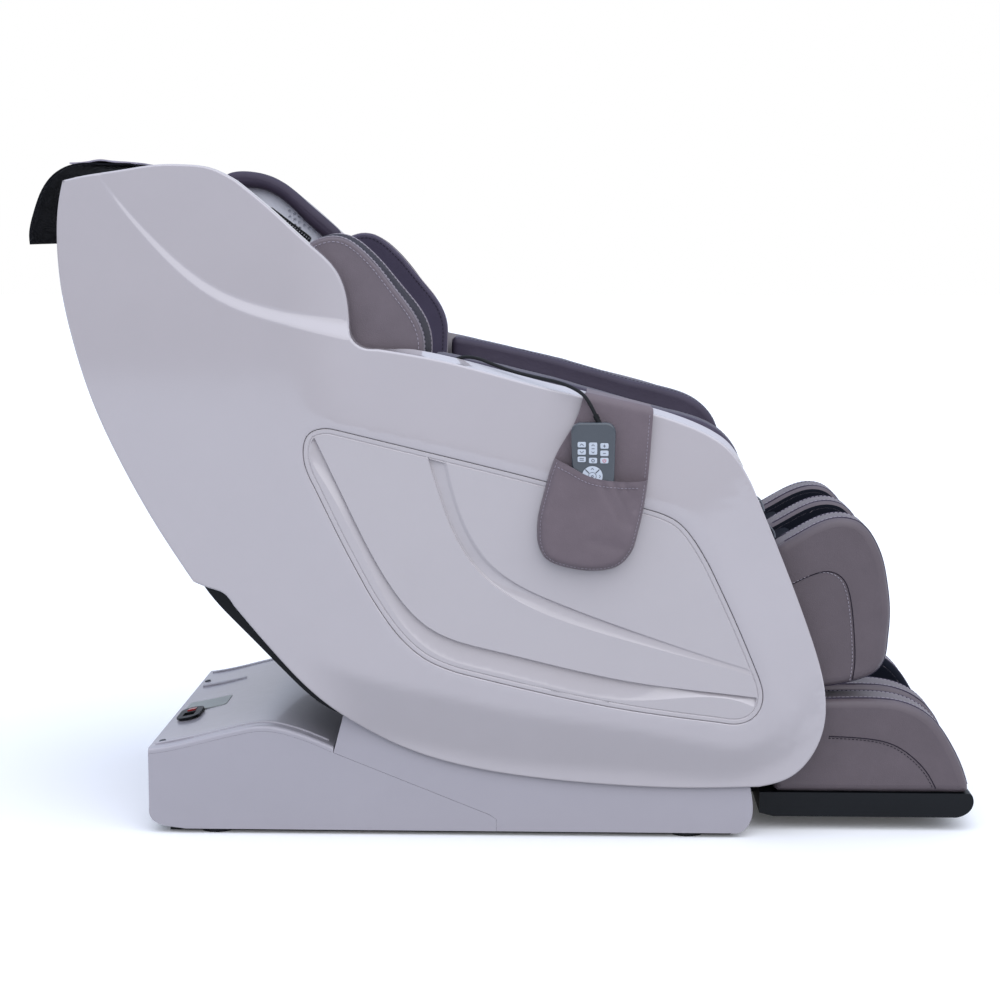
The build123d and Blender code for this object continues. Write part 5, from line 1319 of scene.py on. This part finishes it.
def either(tree, *names):
    """Socket that is 1 for a ray of any of the named kinds."""
    rays = tree.nodes.new("ShaderNodeLightPath")
    found = rays.outputs[names[0]]
    for name in names[1:]:
        node = tree.nodes.new("ShaderNodeMath")
        node.operation = "MAXIMUM"
        tree.links.new(found, node.inputs[0])
        tree.links.new(rays.outputs[name], node.inputs[1])
        found = node.outputs[0]
    return found


def combined(tree, kind, *sources):
    """Output of a shader node whose inputs are the sources, in order."""
    node = tree.nodes.new(kind)
    for source, place in zip(sources, node.inputs):
        tree.links.new(source, place)
    return node.outputs[0]


WHITE = (1, 1, 1, 1)
m, tree, shader = new_material("studio_floor")
greys = [(0.3, (0.33, 0.33, 0.35)), (0.7, (0.35, 0.35, 0.37))]
tint = ramp(tree, cloudy(tree, 2.0, 2.0), greys)
give(shader, {"Base Color": tint, "Roughness": 0.75, "Specular IOR Level": 0.1})
# Seen by the camera or in a gloss it is white, and keeps the shadow; it throws back less light.
paper = give(tree.nodes.new("ShaderNodeBsdfDiffuse"), {"Color": (0.98, 0.98, 0.98, 1)})
glow = give(tree.nodes.new("ShaderNodeEmission"), {"Color": WHITE, "Strength": 0.06})
bright = combined(tree, "ShaderNodeAddShader", paper.outputs[0], glow.outputs[0])
shown = either(tree, "Is Camera Ray", "Is Glossy Ray", "Is Transmission Ray")
both = combined(tree, "ShaderNodeMixShader", shown, shader.outputs[0], bright)
give(tree.nodes["Material Output"], {"Surface": both})
floor_mesh.materials.append(m)

world = bpy.data.worlds.new("studio")
bpy.context.scene.world = world
world.use_nodes = True
tree = world.node_tree
tree.nodes.clear()
# The camera sees white. Everything else is lit by a sky that is brighter and bluer towards its top.
direction = tree.nodes.new("ShaderNodeTexCoord").outputs["Generated"]
axes = give(tree.nodes.new("ShaderNodeSeparateXYZ"), {"Vector": direction})
height = give(tree.nodes.new("ShaderNodeMapRange"), {"Value": axes.outputs["Z"], "From Min": -1})
sky = ramp(tree, height.outputs["Result"], [
    (0.0, (0.3, 0.3, 0.3)), (0.49, (0.46, 0.45, 0.46)), (0.53, (0.66, 0.66, 0.7)),
    (0.62, (0.7, 0.76, 0.9)), (1.0, (0.76, 0.88, 1.14)),
])
lit = give(tree.nodes.new("ShaderNodeBackground"), {"Color": sky, "Strength": 1.0})
seen = give(tree.nodes.new("ShaderNodeBackground"), {"Color": WHITE, "Strength": 1.0})
shown = either(tree, "Is Camera Ray", "Is Transmission Ray")
both = combined(tree, "ShaderNodeMixShader", shown, lit.outputs[0], seen.outputs[0])
give(tree.nodes.new("ShaderNodeOutputWorld"), {"Surface": both})

sun = bpy.data.lights.new("key_light", "SUN")
sun.energy = 1.65
sun.angle = math.radians(80)
sun.color = (1.0, 0.985, 0.97)
sun_item = bpy.data.objects.new("key_light", sun)
sun_item.rotation_euler = Vector((-0.25, 0.66, -0.88)).to_track_quat("-Z", "Y").to_euler()
bpy.context.scene.collection.objects.link(sun_item)

camera_data = bpy.data.cameras.new("camera")
camera_data.lens = 79.39  # fitted to the photo, as are its place and turn
camera_data.sensor_width = 36
camera = bpy.data.objects.new("camera", camera_data)
camera.location = (0.1225, -4.0, 1.03)
camera.rotation_euler = (math.radians(82.971), 0, math.radians(1.901))
bpy.context.scene.collection.objects.link(camera)
bpy.context.scene.camera = camera
bpy.context.scene.view_settings.view_transform = "Standard"
